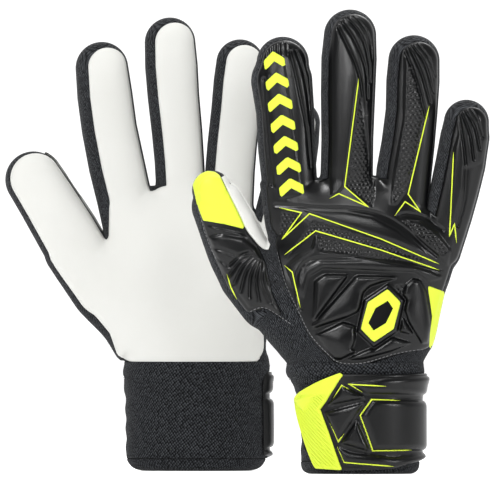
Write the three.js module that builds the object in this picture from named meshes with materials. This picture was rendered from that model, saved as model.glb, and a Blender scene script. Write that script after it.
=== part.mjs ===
// A pair of goalkeeper gloves standing on their cuffs, fingers up.
// Units are millimetres, Z is up. Inside one glove: x runs across the hand (thumb at -x),
// v runs through it (palm at +v, back at -v) and z runs along the fingers.
import * as THREE from "three";

// Wall thicknesses and clearances
const LATEX = 4; // palm foam
const BACK = 3.2; // back panel foam
const MESH = 1.8; // side gussets
const STAY = 1.4; // finger support spine
const STAY_WIDTH = 9;
const GAP = 0.5; // air between sewn neighbours
const SIDE_HALF = 5.2; // half the depth of a side gusset
const RIM = SIDE_HALF + GAP; // where the palm and back panels stop
const ROUNDNESS = 2.4; // superellipse exponent of every cross-section

// Heights of the hand and cuff
const CUFF_TOP = 64;
const HEM_HEIGHT = 6.5;
const HEM_WALL = 3.6;
const CUFF_WALL = 2.6;
const HAND_BOTTOM = CUFF_TOP + GAP;
const ROOT_DROP = 10.5; // palm edge below a finger's bending axis
const BACK_RISE = 7; // how much higher the backhand reaches than the palm

// Strap, its hook patch and the bright tab stitched on its free end
const STRAP_LOW = 5;
const STRAP_HIGH = 57;
const STRAP_WALL = 3;
const HOOK_WALL = 1.6;
const TAB_WALL = 1.8;

// Distance between the middle planes of the two gloves
const APART = 120;

// Each finger: bending axis and tip in x and z, half widths at both ends, half depth
const LEFT = {
  name: "left",
  centre: [-30.3, APART / 2],
  palmFaces: -1,
  wrist: { x: -2.5, halfWidth: 42.5, halfDepth: 21 },
  cuff: { halfWidth: 40, halfDepth: 20.5 },
  knuckles: { left: -60, right: 57, halfDepth: 17.5 },
  thumbBase: { left: [-89.6, 118.5], right: [-57.5, 134.5] },
  fingers: {
    thumb: { axis: [-78.3, 135.9], tip: [-103.5, 187], root: 16, end: 15.5, halfDepth: 12.5 },
    index: { axis: [-45.7, 174], tip: [-60.5, 253.2], root: 15.4, end: 16, halfDepth: 12 },
    middle: { axis: [-11.5, 180.4], tip: [-18, 267.9], root: 14.8, end: 15, halfDepth: 12 },
    ring: { axis: [18.5, 177.4], tip: [25, 255], root: 14, end: 14.3, halfDepth: 12 },
    little: { axis: [46.5, 159.8], tip: [58.2, 220.3], root: 12.8, end: 13.5, halfDepth: 11.5 },
  },
};
const RIGHT = {
  name: "right",
  centre: [64.3, -APART / 2],
  palmFaces: 1,
  wrist: { x: -2, halfWidth: 40, halfDepth: 22.5 },
  cuff: { halfWidth: 34.8, halfDepth: 24 },
  knuckles: { left: -57, right: 66, halfDepth: 17.5 },
  thumbBase: { left: [-82.9, 115.8], right: [-54.9, 130.4] },
  fingers: {
    thumb: { axis: [-73.2, 132.5], tip: [-92.5, 175.5], root: 14.5, end: 12, halfDepth: 12.5 },
    index: { axis: [-42.6, 176.3], tip: [-48.2, 255], root: 15.6, end: 16.4, halfDepth: 12 },
    middle: { axis: [-7.8, 180.4], tip: [-6.6, 270.8], root: 15.2, end: 16, halfDepth: 12 },
    ring: { axis: [25, 177.4], tip: [32, 256.2], root: 14.6, end: 15.6, halfDepth: 12 },
    little: { axis: [54.8, 162.7], tip: [63.5, 218.6], root: 12.8, end: 13.7, halfDepth: 11.5 },
  },
};

const FINISH = {
  latex: { color: "#f1f0ea", roughness: 0.72, metalness: 0 },
  mesh: { color: "#1d1f22", roughness: 0.92, metalness: 0 },
  back: { color: "#101214", roughness: 0.5, metalness: 0 },
  stay: { color: "#c9ced2", roughness: 0.35, metalness: 0 },
  knit: { color: "#1b1c1f", roughness: 0.95, metalness: 0 },
  strap: { color: "#131518", roughness: 0.48, metalness: 0 },
  bright: { color: "#e4ee22", roughness: 0.5, metalness: 0 },
  hook: { color: "#17181a", roughness: 0.9, metalness: 0 },
};

const mix = (a, b, t) => a + (b - a) * t;
const steps = (count) => Array.from({ length: count + 1 }, (_, i) => i / count);

// A closed thin solid between an outer and an inner grid of points of the same size.
// With wrap, the columns run all the way round.
function shell(outer, inner, wrap = false) {
  const rows = outer.length;
  const columns = outer[0].length;
  const points = [...outer.flat(), ...inner.flat()];
  const out = (i, j) => i * columns + (j % columns);
  const back = (i, j) => rows * columns + out(i, j);
  const faces = [];
  const quad = (a, b, c, d) => faces.push([a, b, c], [a, c, d]);
  const spans = wrap ? columns : columns - 1;
  for (let i = 0; i < rows - 1; i++) {
    for (let j = 0; j < spans; j++) {
      quad(out(i, j), out(i, j + 1), out(i + 1, j + 1), out(i + 1, j));
      quad(back(i, j), back(i + 1, j), back(i + 1, j + 1), back(i, j + 1));
    }
  }
  for (let j = 0; j < spans; j++) {
    quad(out(0, j + 1), out(0, j), back(0, j), back(0, j + 1));
    quad(out(rows - 1, j), out(rows - 1, j + 1), back(rows - 1, j + 1), back(rows - 1, j));
  }
  if (!wrap) {
    for (let i = 0; i < rows - 1; i++) {
      quad(out(i, 0), out(i + 1, 0), back(i + 1, 0), back(i, 0));
      const last = columns - 1;
      quad(out(i + 1, last), out(i, last), back(i, last), back(i + 1, last));
    }
  }
  const volume = faces.reduce((sum, [a, b, c]) => {
    return sum + points[a].dot(points[b].clone().cross(points[c]));
  }, 0);
  const index = volume > 0 ? faces.flat() : faces.flatMap(([a, b, c]) => [a, c, b]);
  const geometry = new THREE.BufferGeometry().setFromPoints(points);
  geometry.setIndex(index);
  geometry.computeVertexNormals();
  return geometry;
}

function addPiece(group, name, geometry, finish) {
  const mesh = new THREE.Mesh(geometry, new THREE.MeshStandardMaterial(finish));
  mesh.name = name;
  group.add(mesh);
}

// Half of a rounded cross-section above the rim height, from its left end to its right end
function arch(halfWidth, halfDepth, count, rim = RIM) {
  const start = Math.asin(Math.min(1, (rim / halfDepth) ** (ROUNDNESS / 2)));
  return steps(count).map((t) => {
    const angle = mix(Math.PI - start, start, t);
    const across = Math.abs(Math.cos(angle)) ** (2 / ROUNDNESS) * Math.sign(Math.cos(angle));
    return [halfWidth * across, halfDepth * Math.sin(angle) ** (2 / ROUNDNESS)];
  });
}

// Maps (across, through, along) of one finger to the glove's own frame
function fingerFrame({ axis, tip }) {
  const along = new THREE.Vector2(tip[0] - axis[0], tip[1] - axis[1]);
  const length = along.length();
  along.normalize();
  const place = (u, v, d) =>
    new THREE.Vector3(axis[0] + along.y * u + along.x * d, v, axis[1] - along.x * u + along.y * d);
  return { length, place };
}

// Palm-side or back-side panel of a finger: side is +1 for the palm, -1 for the back
function fingerPanel(finger, wall, side, start) {
  const { length, place } = fingerFrame(finger);
  const layer = (inset) => {
    const end = finger.end - inset;
    const depth = finger.halfDepth - inset;
    const straight = length - finger.end;
    const last = Math.sqrt(1 - ((RIM + 0.8) / depth) ** 2);
    const rows = steps(3).map((t) => [mix(start, straight, t), mix(finger.root - inset, end, t), 1]);
    for (const q of [0.4, 0.75, 1]) {
      rows.push([straight + q * last * end, end, Math.sqrt(1 - (q * last) ** 2)]);
    }
    return rows.map(([d, width, scale]) =>
      arch(width * scale, depth * scale, 6).map(([u, v]) => place(u, side * v, d)),
    );
  };
  return shell(layer(0), layer(wall));
}

// Mesh strip up one side of a finger, over its tip and down the other side
function fingerGusset(finger) {
  const { length, place } = fingerFrame(finger);
  const straight = length - finger.end;
  const crown = 1 - 0.5 * (SIDE_HALF / finger.halfDepth) ** ROUNDNESS;
  const layer = (inset) => {
    const path = steps(2).map((t) => [-mix(finger.root, finger.end, t) + inset, t * straight, 0]);
    for (const t of steps(8).slice(1)) {
      const angle = Math.PI * (1 - t);
      const radius = finger.end - inset;
      path.push([radius * Math.cos(angle), straight, radius * Math.sin(angle)]);
    }
    for (const t of [0.5, 0]) path.push([mix(finger.root, finger.end, t) - inset, t * straight, 0]);
    return path.map(([u, d, dome]) =>
      [-1, 0, 1].map((s) => place(s ? u * crown : u, s * SIDE_HALF, d + dome * (s ? crown : 1))),
    );
  };
  return shell(layer(0), layer(MESH));
}

// Flexible spine lying just under the back panel of a finger
function fingerStay(finger) {
  const { length, place } = fingerFrame(finger);
  const outside = finger.halfDepth - BACK - 1;
  const layer = (inset) =>
    steps(3).map((t) =>
      [-0.5, 0.5].map((s) =>
        place(s * STAY_WIDTH, -(outside - inset), mix(3, length - finger.end - 1, t)),
      ),
    );
  return shell(layer(0), layer(STAY));
}

// Height of the palm's upper edge below the four fingers, at a given x
function palmEdge(glove, x) {
  const { index, middle, ring, little } = glove.fingers;
  const marks = [index, middle, ring, little].map(({ axis }) => [axis[0], axis[1] - ROOT_DROP]);
  marks.unshift([glove.knuckles.left, marks[0][1] - 3]);
  marks.push([glove.knuckles.right, marks[4][1] - 5]);
  // the edge steps down to the shorter little finger
  marks.splice(4, 0, [little.axis[0] - little.root + 1, little.axis[1] - ROOT_DROP + 1.5]);
  const next = Math.max(1, marks.findIndex(([at]) => at >= x));
  const [x0, z0] = marks[next - 1];
  const [x1, z1] = marks[next];
  return mix(z0, z1, THREE.MathUtils.clamp((x - x0) / (x1 - x0), 0, 1));
}

// Palm (side +1) or backhand (side -1): a fan from the wrist to the thumb and finger roots
function handPanel(glove, wall, side) {
  const { wrist, knuckles, thumbBase, fingers } = glove;
  const rise = side < 0 ? BACK_RISE : 0;
  const layer = (inset) => {
    const [x0, z0] = thumbBase.left;
    const [x1, z1] = thumbBase.right;
    const thumbHalf = (x1 - x0) / 2;
    const along = fingerFrame(fingers.thumb).place(0, 0, 1).sub(fingerFrame(fingers.thumb).place(0, 0, 0));
    const thumb = arch(thumbHalf - inset, fingers.thumb.halfDepth - inset, 5).map(([u, v]) => ({
      x: (x0 + x1) / 2 + u + along.x * rise,
      v,
      z: (z0 + z1) / 2 + (u * (z1 - z0)) / (x1 - x0) + along.z * rise,
    }));
    const middle = (knuckles.left + knuckles.right) / 2;
    const halfWidth = (knuckles.right - knuckles.left) / 2;
    const palm = arch(halfWidth - inset, knuckles.halfDepth - inset, 10).map(([u, v]) => ({
      x: middle + u,
      v,
      z: palmEdge(glove, middle + u) + rise,
    }));
    const top = [...thumb, ...palm];
    const low = arch(wrist.halfWidth - inset, wrist.halfDepth - inset, top.length - 1);
    return steps(4).map((s) =>
      top.map((edge, i) => {
        const [u, v] = low[i];
        const x = mix(wrist.x + u, edge.x, s);
        return new THREE.Vector3(x, side * mix(v, edge.v, s), mix(HAND_BOTTOM, edge.z, s));
      }),
    );
  };
  return shell(layer(0), layer(wall));
}

// Mesh strip between palm and backhand along a straight edge; outside is +1 or -1 in x
function sideStrip(from, to, outside) {
  const layer = (inset) =>
    steps(4).map((t) =>
      [-1, 0, 1].map((s) => {
        const x = mix(from[0], to[0], t) - outside * (inset + (s ? 0.8 : 0));
        return new THREE.Vector3(x, s * SIDE_HALF, mix(from[1], to[1], t));
      }),
    );
  return shell(layer(0), layer(MESH));
}

// Ring wall of the cuff between two heights
function ringWall(halfWidth, halfDepth, wall, low, high, levels) {
  const layer = (inset) =>
    steps(levels).map((t) =>
      Array.from({ length: 28 }, (_, k) => {
        const angle = (2 * Math.PI * k) / 28;
        const x = (halfWidth - inset) * Math.cos(angle);
        return new THREE.Vector3(x, (halfDepth - inset) * Math.sin(angle), mix(low, high, t));
      }),
    );
  return shell(layer(0), layer(wall), true);
}

// Plate wrapped on the back of the cuff between two angles, measured from the little-finger edge
function cuffPlate(cuff, clear, wall, from, to, low, high, slant = 0) {
  const layer = (offset) =>
    steps(1).map((s) =>
      steps(12).map((t) => {
        const angle = THREE.MathUtils.degToRad(mix(from, to, t) + slant * (s - 0.5));
        const x = (cuff.halfWidth + offset) * Math.cos(angle);
        const v = -(cuff.halfDepth + offset) * Math.sin(angle);
        return new THREE.Vector3(x, v, mix(low, high, s));
      }),
    );
  return shell(layer(clear + wall), layer(clear));
}

function makeGlove(glove) {
  const group = new THREE.Group();
  const { cuff, knuckles, thumbBase, wrist } = glove;
  const add = (name, geometry, finish) => addPiece(group, `${glove.name}_${name}`, geometry, finish);

  add("palm_latex", handPanel(glove, LATEX, 1), FINISH.latex);
  add("backhand", handPanel(glove, BACK, -1), FINISH.back);
  const thumbRoot = [thumbBase.left[0] + 0.5, thumbBase.left[1]];
  const wristLeft = [wrist.x - wrist.halfWidth, HAND_BOTTOM];
  add("thumb_side_gusset", sideStrip(wristLeft, thumbRoot, -1), FINISH.mesh);
  const crotch = [thumbBase.right[0] + 1, thumbBase.right[1] + 1];
  const indexSide = [knuckles.left + 1, palmEdge(glove, knuckles.left)];
  add("thumb_web_gusset", sideStrip(crotch, indexSide, -1), FINISH.mesh);
  const wristRight = [wrist.x + wrist.halfWidth, HAND_BOTTOM];
  const littleSide = [knuckles.right, palmEdge(glove, knuckles.right)];
  add("little_side_gusset", sideStrip(wristRight, littleSide, 1), FINISH.mesh);

  for (const [name, finger] of Object.entries(glove.fingers)) {
    add(`${name}_latex`, fingerPanel(finger, LATEX, 1, 0), FINISH.latex);
    add(`${name}_gusset`, fingerGusset(finger), FINISH.mesh);
    add(`${name}_back`, fingerPanel(finger, BACK, -1, 0.3), FINISH.back);
    add(`${name}_stay`, fingerStay(finger), FINISH.stay);
  }

  const { halfWidth, halfDepth } = cuff;
  const hem = ringWall(halfWidth + 0.8, halfDepth + 0.8, HEM_WALL, 0, HEM_HEIGHT, 1);
  add("cuff_hem", hem, FINISH.knit);
  const sleeve = ringWall(halfWidth, halfDepth, CUFF_WALL, HEM_HEIGHT + GAP, CUFF_TOP, 2);
  add("cuff", sleeve, FINISH.knit);
  const strapClear = GAP + HOOK_WALL + GAP;
  const strap = cuffPlate(cuff, strapClear, STRAP_WALL, 6, 172, STRAP_LOW, STRAP_HIGH);
  add("strap", strap, FINISH.strap);
  const tabClear = strapClear + STRAP_WALL + GAP;
  const tab = cuffPlate(cuff, tabClear, TAB_WALL, 122, 160, STRAP_LOW, STRAP_HIGH, -16);
  add("strap_tab", tab, FINISH.bright);
  const hook = cuffPlate(cuff, GAP, HOOK_WALL, 118, 162, STRAP_LOW + 9, STRAP_HIGH - 7);
  add("hook_patch", hook, FINISH.hook);

  group.position.set(glove.centre[0], glove.centre[1], 0);
  group.scale.y = glove.palmFaces;
  return group;
}

const group = new THREE.Group();
group.add(makeGlove(LEFT), makeGlove(RIGHT));

// The frame's origin is the middle of the footprint, on the surface the cuffs rest on
const extent = new THREE.Box3().setFromObject(group);
const middle = extent.getCenter(new THREE.Vector3());
group.position.set(-middle.x, -middle.y, -extent.min.z);

export default group;
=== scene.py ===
import math

import bpy
import numpy as np
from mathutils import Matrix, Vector


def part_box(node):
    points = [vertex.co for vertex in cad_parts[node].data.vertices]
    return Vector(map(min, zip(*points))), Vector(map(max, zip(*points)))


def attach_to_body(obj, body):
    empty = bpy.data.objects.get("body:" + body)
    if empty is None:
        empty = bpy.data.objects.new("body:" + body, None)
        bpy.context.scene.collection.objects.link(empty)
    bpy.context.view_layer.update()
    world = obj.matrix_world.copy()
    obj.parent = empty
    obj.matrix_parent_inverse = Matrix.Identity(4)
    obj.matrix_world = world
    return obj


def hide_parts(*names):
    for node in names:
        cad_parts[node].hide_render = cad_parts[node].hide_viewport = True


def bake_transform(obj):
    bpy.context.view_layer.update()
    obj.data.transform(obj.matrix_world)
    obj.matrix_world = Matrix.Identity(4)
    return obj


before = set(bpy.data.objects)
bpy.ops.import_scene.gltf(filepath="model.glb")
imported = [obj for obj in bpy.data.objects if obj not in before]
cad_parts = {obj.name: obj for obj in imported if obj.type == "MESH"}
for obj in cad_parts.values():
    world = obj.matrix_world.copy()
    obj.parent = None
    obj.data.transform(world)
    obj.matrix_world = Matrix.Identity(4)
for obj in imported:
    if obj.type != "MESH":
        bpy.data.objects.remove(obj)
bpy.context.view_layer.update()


def smooth(lo, hi, value):
    """0 below lo, 1 above hi, a soft step between."""
    t = np.clip((np.asarray(value, float) - lo) / (hi - lo), 0, 1)
    return t * t * (3 - 2 * t)


class Glove:
    """One glove: its outline chains, palm outline and where it sits in the frame."""

    def __init__(self, name, palm_faces):
        self.name = name
        self.sign = palm_faces
        low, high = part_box(f"{name}_cuff")
        self.cx = (low[0] + high[0]) / 2 * 1000
        self.cy = (low[1] + high[1]) / 2 * 1000


LEFT = Glove("left", -1)
RIGHT = Glove("right", 1)
FINGERS = ("thumb", "index", "middle", "ring", "little")

# Fingers are chains of circles (x, z, radius) in glove millimetres: x across the hand, z up.
# Palms are closed outlines.
LEFT.chains = {
    "thumb": [(-97.8, 172.1, 16.7), (-89.6, 159.2, 17.3), (-77.8, 139.8, 18.2), (-68.4, 123.4, 18.2),
        (-57.9, 106.9, 17.6)],
    "index": [(-57.3, 237.9, 15.6), (-55.5, 221.5, 16.4), (-52.9, 202.1, 16.4), (-48.5, 180.4, 16.7),
        (-44.4, 162.7, 16.4), (-40.2, 142.2, 15.9)],
    "middle": [(-17, 252.9, 15), (-16.2, 239.1, 15.6), (-15, 221.5, 15.3), (-12.9, 200.9, 15),
        (-11.5, 183.3, 14.7), (-9.7, 151, 14.7)],
    "ring": [(24.4, 240.9, 14.1), (23.5, 230.3, 14.7), (22, 212.7, 14.7), (19.7, 192.1, 14.7),
        (18.5, 177.4, 14.7), (17.3, 148.1, 14.7)],
    "little": [(58.5, 205.6, 13.2), (57, 195.1, 14.1), (54.9, 178.6, 14.1), (50.2, 162.7, 14.1),
        (46.1, 148.1, 13.8), (40.8, 127.5, 13.5)],
}
LEFT.palm = [(-43.2, 30.6), (-43.2, 62.3), (-47.3, 65.2), (-54.9, 77.5), (-61.4, 84.6), (-69, 92.8),
    (-80.8, 110.5), (-90.8, 126.9), (-75.5, 135.1), (-59, 137.5), (-56.1, 137.5), (-55.5, 145.1),
    (-55.5, 159.8), (-43.2, 167.4), (-26.1, 168.6), (-22.6, 171.6), (2.6, 175.1), (15.6, 171.6),
    (31.4, 156.9), (37.3, 149.8), (54.9, 142.2), (52.6, 130.4), (48.5, 117.5), (43.8, 101), (40.8, 83.4),
    (39.7, 71.7), (42, 62.3), (42.6, 30.6)]
RIGHT.chains = {
    "thumb": [(-86.7, 165.4, 11.5), (-83.1, 155.7, 15.3), (-77.3, 143.3, 16.7), (-72.6, 131.6, 17.3),
        (-64.3, 115.7, 18.2), (-53.8, 101, 17.6)],
    "index": [(-45.2, 239.7, 15.3), (-45.8, 229.1, 17.9), (-43.8, 211.5, 17), (-42.9, 189.2, 16.7),
        (-41.4, 171.6, 16.2), (-39.7, 148.1, 15.3)],
    "middle": [(-5.9, 255.6, 15.3), (-6.5, 242.1, 16.2), (-7.1, 221.5, 15.9), (-7.5, 195.1, 15.2),
        (-7.9, 174.5, 15.3), (-7.9, 151, 15.3)],
    "ring": [(31.4, 240.9, 15), (30.8, 229.1, 15.6), (30, 211.5, 15.2), (27.9, 192.1, 15.6),
        (25.6, 176.2, 16.2), (23.8, 153.9, 15.9)],
    "little": [(62, 205, 13.2), (61.1, 196.2, 14.4), (58.5, 180.4, 14.7), (55.2, 165.7, 14.4),
        (51.4, 151, 14.1), (46.1, 130.4, 12.9)],
}
RIGHT.palm = [(-40.8, 30.6), (-40.8, 58.8), (-46.1, 68.2), (-52.6, 75.8), (-59, 84), (-66.7, 96.4),
    (-78.4, 111.6), (-86.1, 122.2), (-79, 129.2), (-57.3, 132.2), (-53.8, 136.3), (-55.5, 146.9),
    (-57.3, 162.2), (-57.3, 171.6), (-40.8, 173.9), (-24.4, 172.7), (-23.2, 174.5), (-7.9, 178.6),
    (7.9, 173.9), (23.8, 172.7), (39.1, 158), (47.3, 149.8), (60.2, 142.2), (57.3, 132.8), (54.6, 121),
    (51.8, 111.6), (49.5, 105.2), (46.7, 92.8), (44.4, 81.7), (42, 74), (39.1, 69.3), (36.4, 61.1),
    (36.1, 30.6)]


def by_finger(*values):
    return dict(zip(FINGERS, values))


# How far each panel's chains move towards the little finger, and how much narrower they are
LEFT.latex_inset = by_finger((1.47, 1.76), (3.53, 4.11), (2.94, 3.29), (2.64, 3.17), (1.29, 4))
RIGHT.latex_inset = by_finger((1.18, 1.76), (2.94, 3.76), (2.94, 3.53), (2.64, 3.53), (2.35, 3.29))
LEFT.back_inset = by_finger((0.59, 2.94), (2.06, 3.23), (2.06, 3.23), (2.35, 3.53), (2.64, 3.82))
RIGHT.back_inset = by_finger((0.59, 2.94), (0.94, 2.23), (1.53, 2.59), (2.7, 3.64), (2.82, 3.76))
LEFT.latex_palm = [(-39.7, 63.7), (-52.6, 81.1), (-64.9, 95.8), (-80.2, 114), (-88.4, 128.7),
    (-75.5, 134.5), (-58.5, 136.3), (-53.8, 137.5), (-53.2, 145.1), (-52, 159.8), (-43.2, 163.9),
    (-27.3, 165.4), (-21.4, 168), (2.6, 171.6), (13.8, 168), (30.3, 153.3), (37.3, 146.3), (52.6, 139.8),
    (50.2, 130.4), (45.5, 117.5), (40.8, 101), (38.5, 83.4), (38.5, 72.9), (36.1, 67), (30.3, 63.7)]
RIGHT.latex_palm = [(-40.8, 63.5), (-49.1, 74.6), (-57.3, 85.8), (-64.9, 98.7), (-75.5, 112.8),
    (-82, 121), (-74.9, 126.9), (-57.3, 129.2), (-51.4, 134), (-52.6, 146.9), (-52.6, 159.8),
    (-40.8, 168), (-24.4, 169.2), (-7.9, 172.7), (7.9, 169.8), (22.6, 168), (37.9, 153.3), (47.3, 145.7),
    (56.7, 139.8), (53.8, 125.7), (49.1, 109.9), (46.1, 98.1), (43.2, 84.6), (39.1, 72.9), (35.5, 67),
    (29.7, 63.5)]
LEFT.back_palm = [(-28.5, 63.5), (-40.2, 70.5), (-50.8, 83.4), (-57.9, 101), (-60.2, 123.4),
    (-57.9, 138.7), (-54.3, 151), (-52, 162.7), (-40.2, 166.3), (-26.1, 166.8), (-10.9, 171.6),
    (2.6, 173.3), (15.6, 169.8), (30.3, 154.5), (37.3, 148.1), (52.6, 141), (50.2, 127.5), (44.9, 109.9),
    (40.2, 92.2), (37.3, 76.4), (24.4, 70.5), (0.9, 63.5)]
RIGHT.back_palm = [(-12, 63.7), (-19.4, 68.7), (-29.7, 79.9), (-36.1, 92.8), (-44.4, 111.6),
    (-49.1, 130.4), (-52, 145.1), (-54.3, 159.8), (-53.8, 170.4), (-40.8, 172.7), (-24.4, 171),
    (-7.9, 176.2), (7.9, 172.7), (23.8, 170.4), (37.9, 155.7), (47.3, 148.1), (58.5, 141), (55.5, 130.4),
    (52.6, 119.9), (49.6, 110.5), (47.3, 103.4), (44.4, 91.7), (42, 81.1), (39.7, 73.4), (29.7, 71.1),
    (20, 68.7), (9.1, 65.2), (1.5, 63.5)]
# Half thickness of each finger, half width and half depth of the wrist
RIGHT.depth = by_finger(11, 10.8, 11, 10.8, 10.2)
LEFT.depth = by_finger(11.2, 10.8, 10.8, 10.6, 10.2)
LEFT.wrist = (43.0, 19.5)
RIGHT.wrist = (40.0, 21.5)
# Bending axis (x, z), tip (x, z) of each finger in glove millimetres, and where bending starts along it
LEFT.axes = {
    "thumb": ((-78.3, 135.9), (-103.5, 187), -8), "index": ((-45.7, 174), (-60.5, 253.2), -6),
    "middle": ((-11.5, 180.4), (-18, 267.9), -4), "ring": ((18.5, 177.4), (25, 255), -1.5),
    "little": ((46.5, 159.8), (58.2, 220.3), -3.5)}
RIGHT.axes = {
    "thumb": ((-73.2, 132.5), (-92.5, 175.5), -8), "index": ((-42.6, 176.3), (-48.2, 255), -4),
    "middle": ((-7.8, 180.4), (-6.6, 270.8), -5), "ring": ((25, 177.4), (32, 256.2), -3.3),
    "little": ((54.8, 162.7), (63.5, 218.6), -7)}


# ---------------------------------------------------------------- distance fields
def chain_field(knots, x, z):
    """Millimetres inside a chain of circles, and the radius of the nearest stretch."""
    best = np.full(np.shape(x), -1e9)
    radius = np.zeros(np.shape(x))
    for (x0, z0, r0), (x1, z1, r1) in zip(knots[:-1], knots[1:]):
        dx, dz = x1 - x0, z1 - z0
        t = np.clip(((x - x0) * dx + (z - z0) * dz) / (dx * dx + dz * dz), 0, 1)
        r = r0 + (r1 - r0) * t
        s = r - np.hypot(x - x0 - dx * t, z - z0 - dz * t)
        take = s > best
        best = np.where(take, s, best)
        radius = np.where(take, r, radius)
    return best, radius


def line_field(points, x, z):
    """Distance to an open line."""
    distance = np.full(np.shape(x), 1e9)
    for (x0, z0), (x1, z1) in zip(points[:-1], points[1:]):
        dx, dz = x1 - x0, z1 - z0
        t = np.clip(((x - x0) * dx + (z - z0) * dz) / max(dx * dx + dz * dz, 1e-9), 0, 1)
        distance = np.minimum(distance, np.hypot(x - x0 - dx * t, z - z0 - dz * t))
    return distance


def polygon_field(points, x, z):
    """Millimetres inside a closed outline, negative outside it."""
    loop = np.vstack([points, points[:1]])
    inside = np.zeros(np.shape(x), bool)
    for (x0, z0), (x1, z1) in zip(loop[:-1], loop[1:]):
        if z1 != z0:
            inside ^= ((z0 > z) != (z1 > z)) & (x < x0 + (z - z0) * (x1 - x0) / (z1 - z0))
    distance = line_field(loop, x, z)
    return np.where(inside, distance, -distance)


def between(a, b, c, d, t):
    """A point of the smooth curve from b to c, where a comes before them and d after."""
    return 0.5 * (2 * b + (c - a) * t + (2 * a - 5 * b + 4 * c - d) * t * t
                  + (3 * b - a - 3 * c + d) * t ** 3)


def rounded_loop(points):
    """A closed loop of points drawn as a smooth curve."""
    p = np.asarray(points, float)
    n = len(p)
    return np.array([between(p[i - 1], p[i], p[(i + 1) % n], p[(i + 2) % n], part)
                     for i in range(n) for part in (0, 1 / 3, 2 / 3)])


def rounded_line(points, step):
    """An open line through the points, drawn as a smooth curve."""
    p = np.asarray(points, float)
    p = np.vstack([2 * p[0] - p[1], p, 2 * p[-1] - p[-2]])
    out = []
    for i in range(1, len(p) - 2):
        count = max(2, int(np.hypot(*(p[i + 1] - p[i])) / step))
        out += [between(*p[i - 1:i + 3], k / count) for k in range(count)]
    out.append(p[-2])
    return np.array(out)


def soft_max(fields, sharp=0.8):
    """The highest of the fields, with soft corners where they meet."""
    stack = np.stack(fields)
    top = stack.max(0)
    return top + sharp * np.log(np.exp((stack - top) / sharp).sum(0))


def shares(fields, reach):
    """How much each field counts at every point; the highest counts most."""
    stack = np.stack(fields)
    weight = np.exp((stack - stack.max(0)) / reach)
    return weight / weight.sum(0)


def prepare(glove):
    """Fills in what follows from a glove's drawing."""
    glove.knots = {f: np.array(c, float) for f, c in glove.chains.items()}
    glove.palm_loop = rounded_loop(glove.palm)
    glove.latex_loop = rounded_loop(glove.latex_palm)
    glove.back_loop = rounded_loop(glove.back_palm)
    glove.along = {}
    for f, (axis, tip, _) in glove.axes.items():
        d = np.array(tip) - np.array(axis)
        glove.along[f] = d / np.hypot(*d)


prepare(LEFT)
prepare(RIGHT)


def limits_of(glove, low=60):
    """Box (left, right, lower, upper) round the glove, from height low up."""
    loop = np.vstack([glove.knots[f][:, :2] for f in FINGERS] + [glove.palm_loop])
    return (loop[:, 0].min() - 20, loop[:, 0].max() + 20, low, loop[:, 1].max() + 20)


def outline(glove, x, z):
    """Millimetres inside the glove's outline."""
    fields = [chain_field(glove.knots[f], x, z)[0] for f in FINGERS]
    return soft_max(fields + [polygon_field(glove.palm_loop, x, z)])


def panel_outline(glove, x, z, insets, loop, margin=0.9):
    """Millimetres inside a palm or back panel."""
    fields = []
    for f in FINGERS:
        shift, narrow = insets[f]
        knots = glove.knots[f].copy()
        along = glove.along[f]
        knots[:, 0] += along[1] * shift
        knots[:, 1] -= along[0] * shift
        knots[:, 2] -= narrow
        fields.append(chain_field(knots, x, z)[0])
    s = soft_max(fields + [polygon_field(loop, x, z)], 0.6)
    return np.minimum(s, outline(glove, x, z) - margin)


# Exponent of the rounded cross-section of hand and fingers: 2 is an ellipse, more is fuller
ROUND = 2.35
# The hand's edge is rounded over this width; its half thickness grows from EDGE by SWELL over REACH
HAND_ROUND, HAND_EDGE, HAND_SWELL, HAND_REACH = 21.0, 10.8, 6.4, 36
# Heights between which the oval wrist passes into the hand
WRIST_TOP, HAND_LOW = 70, 112


def blurred(values, reach):
    k = np.arange(-3 * reach, 3 * reach + 1)
    kernel = np.exp(-(k / reach) ** 2 / 2)
    kernel /= kernel.sum()
    for axis in (0, 1):
        values = np.apply_along_axis(lambda line: np.convolve(line, kernel, "same"), axis, values)
    return values


def soften(glove):
    """Works out how far the crests where the fingers meet the palm are smoothed down."""
    x0, x1, z0, z1 = limits_of(glove, 40)
    xs, zs = np.arange(x0, x1, 1.0), np.arange(z0, z1, 1.0)
    gx, gz = np.meshgrid(xs, zs, indexing="ij")
    s = outline(glove, gx, gz)
    raw = raw_depth(glove, gx, gz, np.maximum(s, 0))
    inside = (s > 0).astype(float)
    smoothed = blurred(raw * inside, 6) / np.maximum(blurred(inside, 6), 1e-3)
    palm = polygon_field(glove.palm_loop, gx, gz)
    glove.softening = (x0, z0, 1.0, (smoothed - raw) * smooth(2.5, 12, s) * smooth(-3, 10, palm))


def sample(chart, x, z):
    """Reads a chart (left edge, lower edge, step, values) between its grid points."""
    x0, z0, step, table = chart
    i = np.clip((x - x0) / step, 0, table.shape[0] - 1.001)
    j = np.clip((z - z0) / step, 0, table.shape[1] - 1.001)
    a, b = i.astype(int), j.astype(int)
    i, j = i - a, j - b
    return ((table[a, b] * (1 - i) + table[a + 1, b] * i) * (1 - j)
            + (table[a, b + 1] * (1 - i) + table[a + 1, b + 1] * i) * j)


def half_depth(glove, x, z, s):
    """Half thickness of the fabric body at a point s millimetres inside the outline."""
    return raw_depth(glove, x, z, s) + sample(glove.softening, x, z) * np.clip(s, 0, 1)


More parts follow.
